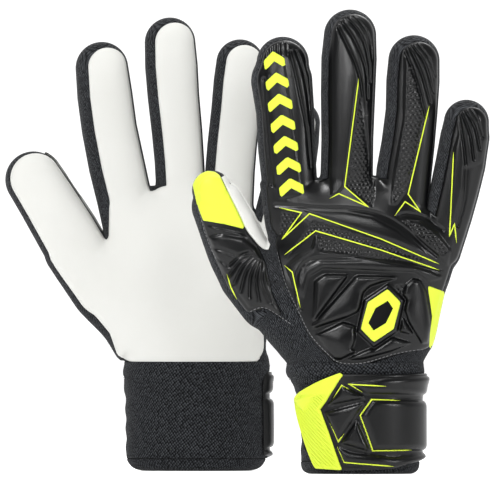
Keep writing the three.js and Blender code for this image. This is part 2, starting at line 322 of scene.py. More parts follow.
def raw_depth(glove, x, z, s):
    """Half thickness before the crests are smoothed down: fingers, hand, and an oval wrist."""
    fields, widths, depths = [], [], []
    for f in FINGERS:
        field, radius = chain_field(glove.knots[f], x, z)
        fields.append(field)
        widths.append(radius)
        depths.append(np.full(np.shape(x), glove.depth[f]))
    palm = polygon_field(glove.palm_loop, x, z)
    fields.append(palm)
    widths.append(np.full(np.shape(x), HAND_ROUND))
    depths.append(HAND_EDGE + HAND_SWELL * smooth(0, HAND_REACH, palm))
    weight = shares(fields, 2.6)
    width = (weight * np.stack(widths)).sum(0)
    depth = (weight * np.stack(depths)).sum(0)
    part = np.clip(s / width, 0, 1)
    hand = depth * (1 - (1 - part) ** ROUND) ** (1 / ROUND)
    half_wrist, deep_wrist = glove.wrist
    part = np.clip(s / half_wrist, 0, 1)
    wrist = deep_wrist * np.sqrt(1 - (1 - part) ** 2)
    low = 1 - smooth(WRIST_TOP, HAND_LOW, z)
    return hand * (1 - low) + wrist * low


def curl(z):
    """Fingers lean a little towards the palm."""
    return 5.0 * (np.clip(z - 165, 0, None) / 100) ** 2


# ---------------------------------------------------------------- meshing
def cut_cells(ids, inside, along_x, along_z):
    """Faces of the grid cells, cut where an outline crosses them, and the edges along that outline.
    ids numbers the grid points; along_x and along_z number the crossings on the grid's edges."""
    total = inside[:-1, :-1].astype(int) + inside[1:, :-1] + inside[1:, 1:] + inside[:-1, 1:]
    i, j = np.nonzero(total == 4)
    faces = np.stack([ids[i, j], ids[i + 1, j], ids[i + 1, j + 1], ids[i, j + 1]], 1).tolist()
    rim = []
    for i, j in zip(*np.nonzero((total > 0) & (total < 4))):
        corners = ((i, j), (i + 1, j), (i + 1, j + 1), (i, j + 1))
        cross = (along_x[i, j], along_z[i + 1, j], along_x[i, j + 1], along_z[i, j])
        face, enters = [], []
        for k in range(4):
            here, there = inside[corners[k]], inside[corners[(k + 1) % 4]]
            if here:
                face.append(ids[corners[k]])
            if here != there:
                face.append(cross[k])
                enters.append((here, cross[k]))
        faces.append(face)
        n = len(enters)
        for k in range(n):
            if enters[k][0]:
                rim.append((enters[k][1], enters[(k + 1) % n][1]))
    return faces, np.array(rim)


def cap(field, limits, pitch, rows, height):
    """A sheet over the region where field > 0, drawn on a grid, with rounded rows at its rim.
    rows are distances inside the edge, from the first, where the grid stops, outwards."""
    x0, x1, z0, z1 = limits
    xs = np.arange(x0, x1 + pitch, pitch)
    zs = np.arange(z0, z1 + pitch, pitch)
    gx, gz = np.meshgrid(xs, zs, indexing="ij")
    s = field(gx, gz) - rows[0]
    s = np.where(np.abs(s) < 1e-4, 1e-4, s)
    inside = s > 0
    ids = np.full(s.shape, -1)
    ids[inside] = np.arange(inside.sum())
    px, pz = [gx[inside]], [gz[inside]]
    level = [s[inside] + rows[0]]
    count = inside.sum()

    def crossings(a, b, shape, ax, az, bx, bz, sa, sb):
        nonlocal count
        where = a != b
        table = np.full(shape, -1)
        table[where] = count + np.arange(where.sum())
        t = sa[where] / (sa[where] - sb[where])
        px.append(ax[where] + (bx[where] - ax[where]) * t)
        pz.append(az[where] + (bz[where] - az[where]) * t)
        count += where.sum()
        return table

    along_x = crossings(inside[:-1], inside[1:], (len(xs) - 1, len(zs)), gx[:-1], gz[:-1],
                        gx[1:], gz[1:], s[:-1], s[1:])
    along_z = crossings(inside[:, :-1], inside[:, 1:], (len(xs), len(zs) - 1), gx[:, :-1], gz[:, :-1],
                        gx[:, 1:], gz[:, 1:], s[:, :-1], s[:, 1:])
    first_edge = int(inside.sum())
    faces, rim = cut_cells(ids, inside, along_x, along_z)
    ex, ez = np.concatenate(px[1:]), np.concatenate(pz[1:])
    # the rim rows run straight outwards from the last crossing
    h = 0.15
    nx = field(ex - h, ez) - field(ex + h, ez)
    nz = field(ex, ez - h) - field(ex, ez + h)
    size = np.hypot(nx, nz) + 1e-9
    nx, nz = nx / size, nz / size
    level.append(np.full(len(ex), rows[0]))
    all_x, all_z = [px[0], ex], [pz[0], ez]
    base_x, base_z = all_x[:], all_z[:]
    previous = np.arange(first_edge, first_edge + len(ex))
    count = first_edge + len(ex)
    for row in rows[1:]:
        here = count + np.arange(len(ex))
        all_x.append(ex + nx * (rows[0] - row))
        all_z.append(ez + nz * (rows[0] - row))
        base_x.append(ex)
        base_z.append(ez)
        level.append(np.full(len(ex), float(row)))
        if len(rim):
            a, b = rim[:, 0] - first_edge, rim[:, 1] - first_edge
            quads = np.stack([previous[a], here[a], here[b], previous[b]], 1)
            faces.extend(quads.tolist())
        previous = here
        count += len(ex)
    x, z = np.concatenate(all_x), np.concatenate(all_z)
    level = np.concatenate(level)
    bottom = np.concatenate(base_z) <= z0 + pitch
    z = np.where(bottom, np.maximum(z, z0), z)
    return {"x": x, "z": z, "h": height(x, z, level), "faces": faces,
            "bx": np.concatenate(base_x), "bz": np.concatenate(base_z)}


def place(glove, x, v, z):
    """Glove millimetres to frame metres."""
    return np.stack([glove.cx + x, glove.cy + glove.sign * (v + curl(z)), z], 1) / 1000


def distance_along(glove, finger, x, z):
    """Millimetres from a finger's bending axis towards its tip."""
    axis, along = glove.axes[finger][0], glove.along[finger]
    return (x - axis[0]) * along[0] + (z - axis[1]) * along[1]


def labels(glove, x, z):
    """0 for the hand, 1 to 5 for the finger whose part a point goes to."""
    stack = np.stack([chain_field(glove.knots[f], x, z)[0] for f in FINGERS])
    nearest = stack.argmax(0)
    out = np.zeros(len(x), int)
    for k, f in enumerate(FINGERS):
        out[(nearest == k) & (distance_along(glove, f, x, z) >= glove.axes[f][2])] = k + 1
    return out


def cloth_directions(glove, x, z, h):
    """Coordinates that run over the cloth without stretching where it turns round an edge."""
    e = 0.4
    gx = outline(glove, x + e, z) - outline(glove, x - e, z)
    gz = outline(glove, x, z + e) - outline(glove, x, z - e)
    size = np.hypot(gx, gz) + 1e-9
    return {"cloth_u": x + gx / size * h, "cloth_v": z + gz / size * h}


def make_object(name, verts, faces, materials, face_material=None, normals=None, masks=None):
    mesh = bpy.data.meshes.new(name)
    mesh.from_pydata(verts.tolist(), [], faces)
    for m in materials:
        mesh.materials.append(m)
    if face_material is not None:
        mesh.polygons.foreach_set("material_index", np.asarray(face_material, np.int32))
    mesh.polygons.foreach_set("use_smooth", np.ones(len(mesh.polygons), bool))
    for key, values in (masks or {}).items():
        attribute = mesh.attributes.new(key, "FLOAT", "POINT")
        attribute.data.foreach_set("value", np.asarray(values, np.float32))
    mesh.update()
    if normals is not None:
        mesh.normals_split_custom_set_from_vertices(normals.tolist())
    obj = bpy.data.objects.new(name, mesh)
    bpy.context.scene.collection.objects.link(obj)
    return obj


def vertex_normals(verts, faces):
    """Area-weighted normals of the whole sheet, so that its cut pieces shade as one."""
    normals = np.zeros_like(verts)
    by_size = {}
    for f in faces:
        by_size.setdefault(len(f), []).append(f)
    for size, group in by_size.items():
        group = np.array(group)
        p = verts[group]
        n = np.zeros((len(group), 3))
        for k in range(1, size - 1):
            n += np.cross(p[:, k] - p[:, 0], p[:, k + 1] - p[:, 0])
        for k in range(size):
            np.add.at(normals, group[:, k], n)
    length = np.linalg.norm(normals, axis=1, keepdims=True)
    return normals / np.maximum(length, 1e-20)


def weld(verts, faces, extra):
    """Joins vertices at the same place; extra arrays follow."""
    key = np.round(verts * 1e6).astype(np.int64)
    _, first, back = np.unique(key, axis=0, return_index=True, return_inverse=True)
    back = back.reshape(-1)
    faces = [list(dict.fromkeys(back[f].tolist())) for f in faces]
    faces = [f for f in faces if len(f) > 2]
    return verts[first], faces, [e[first] for e in extra]


def split_to_bodies(glove, name, verts, faces, bx, bz, materials, nodes,
                    face_material=None, masks=None):
    """Cuts a sheet into the hand's part and one part for each finger."""
    normals = vertex_normals(verts, faces)
    label = labels(glove, bx, bz)
    face_label = np.array([label[f[0]] if all(label[v] == label[f[0]] for v in f) else 0 for f in faces])
    for k in range(6):
        chosen = np.nonzero(face_label == k)[0]
        if not len(chosen):
            continue
        used = sorted({v for i in chosen for v in faces[i]})
        number = {v: n for n, v in enumerate(used)}
        part = "hand" if k == 0 else FINGERS[k - 1]
        obj = make_object(
            f"{glove.name}_{name}_{part}" if k else f"{glove.name}_{name}",
            verts[used], [[number[v] for v in faces[i]] for i in chosen], materials,
            None if face_material is None else np.asarray(face_material)[chosen], normals[used],
            {key: m[used] for key, m in (masks or {}).items()})
        attach(glove, obj, k)
        for node in nodes.get(part, ()):
            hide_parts(f"{glove.name}_{node}")


def attach(glove, obj, k):
    """Rides on the hand when k is 0; a finger's piece is only baked where it stands."""
    if k == 0:
        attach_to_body(obj, f"{glove.name}_hand")
        return
    f = FINGERS[k - 1]
    axis, tip, cut = glove.axes[f]
    reach = 26 if f == "thumb" else 34
    start = np.array(axis) + glove.along[f] * (cut + 1.6)
    end = np.array(axis) + glove.along[f] * (cut + 1.6 + reach)
    points = [(glove.cx + p[0], glove.cy, p[1]) for p in (start, end)]
    points = [tuple(c / 1000 for c in p) for p in points]
    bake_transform(obj)


def turn(faces, flip):
    """The faces, turned over when flip is true."""
    return [f[::-1] for f in faces] if flip else faces


def two_faced(glove, faces, count):
    """Faces of a sheet and of the sheet behind it, whose points come count later."""
    behind = [[v + count for v in f] for f in turn(faces, glove.sign < 0)]
    return turn(faces, glove.sign > 0) + behind


def stands_for(kind, *hand):
    """The CAD nodes that each finger's part and the hand's part of a sheet take the place of."""
    return {**{f: [f"{f}_{kind}"] for f in FINGERS}, "hand": hand}


def lay(glove, name, sheet, side, skin, nodes=None):
    """Puts a sheet on the palm (side 1) or the back (side -1) and cuts it to the bodies."""
    verts = place(glove, sheet["x"], side * sheet["h"], sheet["z"])
    faces = turn(sheet["faces"], side * glove.sign > 0)
    split_to_bodies(glove, name, verts, faces, sheet["bx"], sheet["bz"], [skin], nodes or {})


# ---------------------------------------------------------------- materials
def material(name, color, roughness, build=None, specular=0.5):
    m = bpy.data.materials.new(name)
    m.use_nodes = True
    tree = m.node_tree
    shader = tree.nodes["Principled BSDF"]
    shader.inputs["Base Color"].default_value = (*color, 1)
    shader.inputs["Roughness"].default_value = roughness
    shader.inputs["Specular IOR Level"].default_value = specular
    if build:
        build(tree, shader)
    return m


def node(tree, kind, **inputs):
    n = tree.nodes.new(kind)
    for key, value in inputs.items():
        n.inputs[key.replace("_", " ")].default_value = value
    return n


def bump(tree, shader, height, distance, strength):
    b = node(tree, "ShaderNodeBump", Distance=distance, Strength=strength)
    tree.links.new(height, b.inputs["Height"])
    tree.links.new(b.outputs["Normal"], shader.inputs["Normal"])


def grain(tree, scale, detail):
    place_node = tree.nodes.new("ShaderNodeTexCoord")
    n = node(tree, "ShaderNodeTexNoise", Scale=scale, Detail=detail)
    tree.links.new(place_node.outputs["Object"], n.inputs["Vector"])
    return n.outputs["Fac"]


def mixed(tree, factor, a, b):
    m = tree.nodes.new("ShaderNodeMix")
    m.data_type = "RGBA"
    tree.links.new(factor, m.inputs["Factor"])
    m.inputs["A"].default_value = (*a, 1)
    m.inputs["B"].default_value = (*b, 1)
    return m.outputs["Result"]


def maths(tree, operation, a, b):
    m = tree.nodes.new("ShaderNodeMath")
    m.operation = operation
    for socket, value in zip(m.inputs, (a, b)):
        if isinstance(value, (int, float)):
            socket.default_value = value
        else:
            tree.links.new(value, socket)
    return m.outputs["Value"]


def latex_build(tree, shader):
    fine = grain(tree, 900, 2)
    broad = grain(tree, 18, 2)
    tree.links.new(mixed(tree, broad, (0.555, 0.555, 0.53), (0.60, 0.60, 0.58)), shader.inputs["Base Color"])
    bump(tree, shader, fine, 0.00006, 0.6)


def textile(tree, shader, cell, dark, light, depth, vary):
    """Rows of knitted loops, each a little lighter or darker than its neighbours, and each painted darker
    towards its edge as shade between the loops.
    """
    place_node = node(tree, "ShaderNodeCombineXYZ")
    for name, socket in (("cloth_u", "X"), ("cloth_v", "Y")):
        source = tree.nodes.new("ShaderNodeAttribute")
        source.attribute_name = name
        tree.links.new(source.outputs["Fac"], place_node.inputs[socket])
    mapping = tree.nodes.new("ShaderNodeMapping")
    mapping.inputs["Rotation"].default_value = (0, 0, math.radians(38))
    mapping.inputs["Scale"].default_value = (1, 0.72, 1)
    tree.links.new(place_node.outputs["Vector"], mapping.inputs["Vector"])
    loops = node(tree, "ShaderNodeTexVoronoi", Scale=1 / cell, Randomness=0.3)
    loops.voronoi_dimensions = "2D"
    tree.links.new(mapping.outputs["Vector"], loops.inputs["Vector"])
    parts = tree.nodes.new("ShaderNodeSeparateColor")
    tree.links.new(loops.outputs["Color"], parts.inputs["Color"])
    shade = maths(tree, "ADD", 1 - vary, maths(tree, "MULTIPLY", parts.outputs["Red"], vary))
    # the crown also darkens each loop's colour towards its edge: painted shade in the gaps between loops,
    # with the loop tops left lighter as painted highlight
    crown = maths(tree, "SUBTRACT", 1.0, maths(tree, "MULTIPLY", loops.outputs["Distance"], 1.6))
    factor = maths(tree, "MULTIPLY", shade, crown)
    tree.links.new(mixed(tree, factor, dark, light), shader.inputs["Base Color"])
    bump(tree, shader, crown, depth, 0.9)
    shader.inputs["Sheen Weight"].default_value = 0.08


def mesh_build(tree, shader):
    textile(tree, shader, 1.12, (0.001, 0.001, 0.0015), (0.1, 0.105, 0.113), 0.0003, 0.55)


def knit_build(tree, shader):
    textile(tree, shader, 1.12, (0.001, 0.001, 0.0015), (0.087, 0.092, 0.1), 0.0003, 0.45)


def foam_build(tree, shader):
    fine = grain(tree, 1300, 3)
    bump(tree, shader, fine, 0.0001, 0.4)


def bright_build(tree, shader):
    fine = grain(tree, 1600, 2)
    bump(tree, shader, fine, 0.00002, 0.5)


LATEX = material("latex", (0.7, 0.7, 0.67), 0.7, latex_build, 0.25)
MESH = material("mesh", (0.03, 0.03, 0.032), 0.85, mesh_build, 0.15)
KNIT = material("knit", (0.02, 0.02, 0.022), 0.9, knit_build, 0.12)
FOAM = material("back_foam", (0.003, 0.0032, 0.0036), 0.3, foam_build, 0.44)
BRIGHT = material("bright_tab", (0.57, 0.68, 0.06), 0.5, bright_build, 0.25)


# ---------------------------------------------------------------- the two gloves
soften(LEFT)
soften(RIGHT)


# The fabric is knit below this height in metres, and mesh above it
KNIT_TOP = 0.103


def build_body(glove):
    """Fabric body: mesh gussets round the fingers and down both edges of the hand."""
    rows = (2.6, 2.0, 1.4, 0.9, 0.5, 0.22, 0.06, 0.0)
    sheet = cap(lambda x, z: outline(glove, x, z), limits_of(glove, 61), 1.1, rows,
                lambda x, z, s: half_depth(glove, x, z, s))
    n = len(sheet["x"])
    verts = np.vstack([place(glove, sheet["x"], side * sheet["h"], sheet["z"]) for side in (1, -1)])
    faces = two_faced(glove, sheet["faces"], n)
    bx, bz = np.tile(sheet["bx"], 2), np.tile(sheet["bz"], 2)
    cloth = cloth_directions(glove, np.tile(sheet["x"], 2), np.tile(sheet["z"], 2), np.tile(sheet["h"], 2))
    verts, faces, (bx, bz, u, v) = weld(verts, faces, [bx, bz, cloth["cloth_u"], cloth["cloth_v"]])
    low = np.array([verts[f, 2].mean() for f in faces]) < KNIT_TOP
    nodes = stands_for("gusset", "thumb_side_gusset", "thumb_web_gusset", "little_side_gusset")
    split_to_bodies(glove, "fabric", verts, faces, bx, bz, [MESH, KNIT], nodes, low.astype(int),
                    {"cloth_u": u, "cloth_v": v})


# Panels stand this far above the fabric, and their edges are sunk into it
LATEX_THICK, BACK_THICK, SUNK = 1.5, 1.3, 0.7


def rim(s, reach):
    """Rounded shoulder of a panel: 0 at its edge, 1 from reach inwards."""
    return np.sqrt(np.clip(1 - (1 - np.clip(s / reach, 0, 1)) ** 2, 0, 1))


# The palm latex of the thumb rolls round its index side and shows from the back
ROLLED_EDGE = [(-86.1, 180.4), (-76.1, 179.8), (-70.2, 168), (-63.2, 156.9), (-56.1, 148.1),
    (-48.5, 138.7), (-50.2, 132.2), (-54.9, 130.4), (-59, 132.8), (-62.6, 136.9), (-66.4, 141.9),
    (-70.8, 151.3), (-76.1, 161.9), (-81.7, 173.9)]


def build_roll(glove):
    loop = rounded_loop(ROLLED_EDGE)

    def field(x, z):
        thumb = chain_field(glove.knots["thumb"], x, z)[0]
        return np.minimum(polygon_field(loop, *transfer(glove, RIGHT, x, z)), thumb + 1.2)

    def height(x, z, s):
        body = half_depth(glove, x, z, np.maximum(outline(glove, x, z), 0))
        return body - 0.5 + (0.5 + 1.2) * rim(s, 1.6)

    sheet = cap(field, limits_of(glove), 0.7, (1.6, 1.2, 0.8, 0.45, 0.2, 0.05, 0.0), height)
    lay(glove, "rolled_edge", sheet, -1, LATEX)


def build_latex(glove):
    def height(x, z, s):
        body = half_depth(glove, x, z, np.maximum(outline(glove, x, z), 0))
        return body - SUNK + (LATEX_THICK + SUNK) * rim(s, 1.3)

    def field(x, z):
        rolled = polygon_field(ROLLED_EDGE, *transfer(glove, RIGHT, x, z))
        margin = 0.9 - 1.2 * smooth(-1, 1, rolled)
        return panel_outline(glove, x, z, glove.latex_inset, glove.latex_loop, margin)

    sheet = cap(field, limits_of(glove), 1.0, (1.3, 0.9, 0.55, 0.25, 0.06, 0.0), height)
    lay(glove, "latex", sheet, 1, LATEX, stands_for("latex", "palm_latex"))


def transfer(source, target, x, z):
    """Moves a point of one glove to the matching point of the other."""
    if source is target:
        return x, z
    stack = [chain_field(source.knots[f], x, z)[0] for f in FINGERS] + [polygon_field(source.palm_loop, x, z)]
    for k, f in enumerate(FINGERS):
        d = distance_along(source, f, x, z)
        stack[k] = stack[k] - 30 * (1 - smooth(-16, 4, d))
        stack[5] = np.where(stack[k] > stack[5], stack[5] - 12 * smooth(-4, 8, d), stack[5])
    weight = shares(stack, 3)
    out_x, out_z = 0, 0
    for k, f in enumerate(FINGERS):
        a, b = np.array(source.axes[f][0]), np.array(target.axes[f][0])
        e, g = source.along[f], target.along[f]
        stretch = np.hypot(*(np.array(target.axes[f][1]) - b)) / np.hypot(*(np.array(source.axes[f][1]) - a))
        d = distance_along(source, f, x, z) * stretch
        u = (x - a[0]) * e[1] - (z - a[1]) * e[0]
        out_x = out_x + weight[k] * (b[0] + g[1] * u + g[0] * d)
        out_z = out_z + weight[k] * (b[1] - g[0] * u + g[1] * d)
    marks = [np.vstack([[g.axes[f][0] for f in FINGERS],
                        [[-g.wrist[0] - 2, 64], [g.wrist[0] - 2, 64]]]) for g in (source, target)]
    affine = np.linalg.lstsq(np.hstack([marks[0], np.ones((7, 1))]), marks[1], rcond=None)[0]
    out_x = out_x + weight[5] * (affine[0, 0] * x + affine[1, 0] * z + affine[2, 0])
    out_z = out_z + weight[5] * (affine[0, 1] * x + affine[1, 1] * z + affine[2, 1])
    return out_x, out_z


# Raised pads on the back: outline, height and width of the shoulder, all drawn on the right glove
PADS = [
    ([(-27, 112.2), (-21.4, 116.3), (-6.8, 116.1), (-8.5, 113.4), (-27.6, 87.8),
      (-27.9, 90.5)], 3.2, 2.8),
    ([(-2.6, 115.7), (17.9, 115.4), (23.2, 114), (13.8, 111.9), (5.6, 109), (1.8, 105.2), (0.6, 98.1),
      (-1.5, 94), (-6.8, 91.4), (-27.3, 84.6), (-28.5, 86.4)], 3.2, 2.8),
    ([(-26.4, 81.1), (-10.3, 88.8), (-2.1, 86.1), (-2.9, 77.5), (-4.7, 72.9), (-2.1, 71.1), (-11.5, 66.4),
      (-15, 66.7), (-19.7, 71.7)], 3.3, 3),
    ([(11.5, 98.1), (20.3, 99.9), (22.6, 95.8), (31.4, 80.5), (20.3, 83.1), (9.7, 86.4)], 3.2, 2.7),
    ([(23.5, 101), (26.1, 110.5), (30.6, 114), (35, 113.1), (38.5, 105.8), (41.7, 85.8), (41.4, 75.8),
      (35.5, 75.5), (27.9, 88.1)], 3.4, 3.4),
    ([(9.7, 82.8), (8.5, 77), (5.6, 73.4), (-0.9, 70.5), (-9.1, 66.1), (1.5, 66.7), (17.9, 71.1),
      (30.8, 76.1), (19.1, 79.6)], 3, 2.6),
    ([(-33.2, 119.9), (-24.4, 124.3), (0.3, 124.8), (23.8, 122.5), (41.4, 118.1), (47.9, 113.4),
      (40.2, 111.6), (32, 117.5), (23.8, 117.8), (-5.6, 119), (-22, 119.6), (-29.7, 114.9), (-33.2, 101),
      (-36.7, 109.9)], 1.7, 2.2),
    ([(-48.2, 155.1), (-24.4, 153.9), (-8.5, 153.3), (7.3, 150.4), (22, 142.8), (34.4, 132.2),
      (41.4, 125.7), (23.8, 133.4), (5, 139.2), (-29.7, 151.6), (-32.6, 153.3),
      (-47.3, 155.1)], 1.5, 2.6),
    ([(-35.5, 101), (-43.2, 121), (-35.5, 128.1), (-28.5, 131.9), (-25.8, 140.4), (-22.6, 130),
      (-6.8, 128.1), (23.8, 121.9), (47.3, 115.7), (47.9, 112.8), (35.5, 116.9), (0.3, 124.8),
      (-24.4, 124.8), (-32.6, 119.9)], 1.5, 1.5),
    ([(26.1, 148.6), (35.5, 147.5), (44.9, 141), (53.2, 130.4), (51.4, 119.9), (42.6, 129.2),
      (33.2, 137.5)], 2, 3.6),
    ([(-15.6, 264.4), (-12.6, 264.4), (-5.6, 250.9), (0.9, 233.2), (-1.5, 224.4), (-9.1, 167.4),
      (-13.2, 162.7), (-17.6, 161.6), (-17.6, 242.1)], 1.3, 2.2),
    ([(25.6, 245), (29.7, 245), (35.5, 229.1), (37.9, 216.2), (26.7, 164.5), (20.9, 156.3), (17.3, 156.9),
      (19.7, 177.4), (25, 206.8)], 1.2, 2.2),
    ([(54.3, 189.2), (57.9, 200.9), (60.8, 183.3), (60.2, 165.7), (54.3, 144.5), (50.8, 141)], 1.2, 2.2),
    ([(-56.1, 238.5), (-44.4, 242.1), (-33.8, 162.7), (-47.3, 159.8)], 0.5, 1.6),
    ([(-91.4, 137.5), (-80.8, 139.8), (-67.9, 137.5), (-60.8, 131.6), (-56.1, 122.2), (-53.2, 108.1),
      (-47.3, 93.4), (-56.7, 97.5), (-64.9, 96.4), (-72.6, 106.9), (-81.4, 118.7),
      (-87.2, 128.1)], 2, 3.2),
    ([(-91.9, 145.1), (-79.6, 142.8), (-67.9, 139.8), (-64.3, 136.3), (-72.6, 138.4),
      (-85.5, 141)], 0.9, 1.8),
    ([(-13.2, 262.6), (-5.6, 268.5), (1.5, 265.6), (6.2, 255), (7.9, 240.9), (6.8, 224.4), (3.8, 208),
      (-0.9, 221.5), (-7.3, 245)], 0.9, 2.2),
    ([(25, 247.9), (29.7, 251.5), (35.5, 251.5), (42, 243.2), (45.5, 230.3), (42.6, 215), (38.5, 205.6),
      (32.6, 224.4)], 0.9, 2.2),
    ([(56.1, 209.2), (60.8, 214.4), (65.5, 213.3), (70.8, 204.5), (73.7, 193.9), (70.8, 181),
      (64.9, 178.6), (59, 179.8)], 0.9, 2.2),
    ([(-42, 247.9), (-35.5, 247.9), (-30.8, 235), (-27.9, 219.7), (-26.7, 202.1), (-27.9, 177.4),
      (-32, 195.1), (-35.5, 216.2)], 0.9, 2.2),
]
# Flex grooves: line, depth and half width
GROOVES = [
    ([(-8.1, 265.6), (-2.6, 260.4), (2.1, 252), (5, 239.8), (5.5, 228)], 1.65, 0.8),
    ([(-10.5, 263.2), (-4.4, 254.8), (1.2, 242.6), (3.8, 232.4), (4.2, 218.6)], 1.65, 0.8),
    ([(-12.8, 260.4), (-7.2, 249.2), (-1.6, 236.2), (0.9, 224.4), (2.6, 209.2)], 1.65, 0.8),
    ([(-4.4, 267), (1.2, 261.4), (5.5, 252.9), (7.1, 240.9)], 1.5, 0.75),
    ([(0.9, 218.6), (2.1, 206.8), (3.8, 192.1), (7.3, 168.6)], 1.5, 0.95),
    ([(28.4, 249.2), (33.1, 239.8), (36.7, 230.5), (40.6, 216.2)], 1.65, 0.8),
    ([(30.3, 249.7), (37.8, 238.9), (42.5, 222.1)], 1.65, 0.8),
    ([(33.5, 250.3), (39.7, 242.6), (43.7, 231.5)], 1.5, 0.75),
    ([(25.6, 247.9), (30.3, 236.2), (34.4, 223.2), (38.2, 208)], 1.5, 0.8),
    ([(57.5, 209.2), (60.2, 193), (61.6, 180.4)], 1.5, 0.75),
    ([(58.9, 210.9), (64, 197.7), (66.1, 183.3)], 1.65, 0.75),
    ([(60.8, 212.3), (66.7, 202.3), (69.6, 189.2)], 1.65, 0.75),
    ([(63.5, 213.3), (68.3, 206.2), (71.4, 196.2)], 1.5, 0.75),
    ([(62, 177.4), (60.8, 159.8), (56.7, 144.5)], 1.5, 0.85),
    ([(-40.9, 246.2), (-38.1, 235.2), (-34.4, 217.4), (-31.5, 202.3), (-28.7, 178.6)], 1.65, 0.85),
    ([(-37.6, 246.4), (-33.4, 235.2), (-30.6, 221.1), (-29.1, 203.9)], 1.65, 0.85),
    ([(-56.4, 230.3), (-54.6, 203.9), (-51.1, 168.6)], 1.65, 0.85),
    ([(-53.8, 250.3), (-53.5, 243.8)], 0.7, 0.6),
    ([(-51.1, 250.9), (-51.1, 243.8)], 0.7, 0.6),
    ([(-48.5, 251.2), (-48.5, 243.8)], 0.7, 0.6),
    ([(-45.8, 251.2), (-45.7, 244.4)], 0.7, 0.6),
    ([(-43.2, 250.6), (-42.6, 244.4)], 0.7, 0.6),
    ([(-49.4, 156.6), (-23.2, 155.1), (-4.4, 154.5), (10.6, 151.6), (24.7, 143.9), (36.7, 133.4),
      (44.9, 126.9)], 0.9, 0.9),
    ([(-35, 95.8), (-37.3, 109.9), (-35, 119.9), (-25, 125.7), (0.3, 126.3), (25, 124),
      (47.3, 118.7)], 0.8, 0.9),
    ([(22.6, 150.4), (26.7, 151.6), (37.9, 149.2), (47.9, 142.2)], 0.9, 1),
    ([(-90.2, 131.9), (-80.8, 130.4), (-67.9, 125.1)], 0.9, 1),
    ([(-88.4, 126.9), (-80.8, 124), (-74.9, 119.9)], 0.8, 1),
]
# Ridges that let the thumb bend fan out from its root
THUMB_ROOT = (-56.1, 131.6)
for step in range(8):
    angle = math.radians(198 + 11.5 * step)
    near, far = (8.2, 25.8 + 0.94 * step) if step else (9.4, 23.5)
    ridge = [(THUMB_ROOT[0] + r * math.cos(angle + bend), THUMB_ROOT[1] + r * math.sin(angle + bend))
             for r, bend in ((near, 0), (0.6 * far, 0), (far, 0.16))]
    GROOVES.append((ridge, 1.5, 0.95))
# Areas embossed with small hexagons
HEXES = [
    [(-0.3, 221.5), (2.1, 212.7), (3.8, 195.1), (5.6, 180.4), (9.1, 164.5), (7.3, 155.1), (-8.2, 167.4)],
    [(27.9, 240.9), (30.8, 238.5), (36.1, 221.5), (36.7, 203.9), (32, 180.4), (26.1, 164.5),
     (19.7, 158.6), (18.5, 162.7), (22.6, 183.3), (26.7, 212.7)],
    [(-46.1, 152.8), (-35, 151), (-44.4, 138.7), (-47.3, 138.7)],
    [(-40.8, 129.2), (-27.3, 147.5), (0.3, 138.7), (23.8, 131), (43.8, 121.6), (25, 127.5), (12, 131),
     (-26.1, 142.8), (-42, 126.9)],
    [(23.8, 147.5), (31.4, 146.9), (42.6, 140.4), (51.4, 129.2), (47.3, 126.9), (37.9, 136.3),
     (28.5, 143.3)],
    [(19.1, 109.9), (25.6, 110.5), (24.4, 103.4)],
    [(-24.4, 139.5), (-10.3, 135.4), (33.2, 122.8), (-7.9, 128.7), (-22.3, 130.7)],
]
GROOVES = [(rounded_line(p, 3) if len(p) > 2 else p, d, w) for p, d, w in GROOVES]


def near_box(points, x, z, margin):
    corners = np.array([p[:2] for p in points])
    low, high = corners.min(0) - margin, corners.max(0) + margin
    return (x > low[0]) & (x < high[0]) & (z > low[1]) & (z < high[1])


def dimples(x, z, pitch=2.5):
    """Honeycomb of shallow hollows: 1 in the middle of a cell, 0 on the ridges between."""
    u, w = x / pitch, z / (pitch * math.sqrt(3))
    near = [np.hypot((u + k) % 1 - 0.5, ((w + k) % 1 - 0.5) * math.sqrt(3)) for k in (0, 0.5)]
    return 1 - smooth(0.3, 0.5, np.minimum(*near))


def hexagon(half_width, half_height):
    """A hexagon in the middle of the backhand, leaning to the little-finger side."""
    corners = [(0, -1), (1, -0.5), (1, 0.5), (0, 1), (-1, 0.5), (-1, -0.5)]
    return [(11.8 + a * half_width - b * 4.1, 92.2 - b * half_height) for a, b in corners]


MARK_BASE = np.array(hexagon(11.5, 18.2))


# Shares of a pad's height: its flat, the crown on the flat and the trench round it
FLAT_SHARE, CROWN_SHARE, TRENCH_SHARE = 0.75, 0.3, 0.4
# Depth of the honeycomb, and height of the flat under the mark
HONEYCOMB_DEPTH, MARK_HEIGHT = 0.75, 1.9


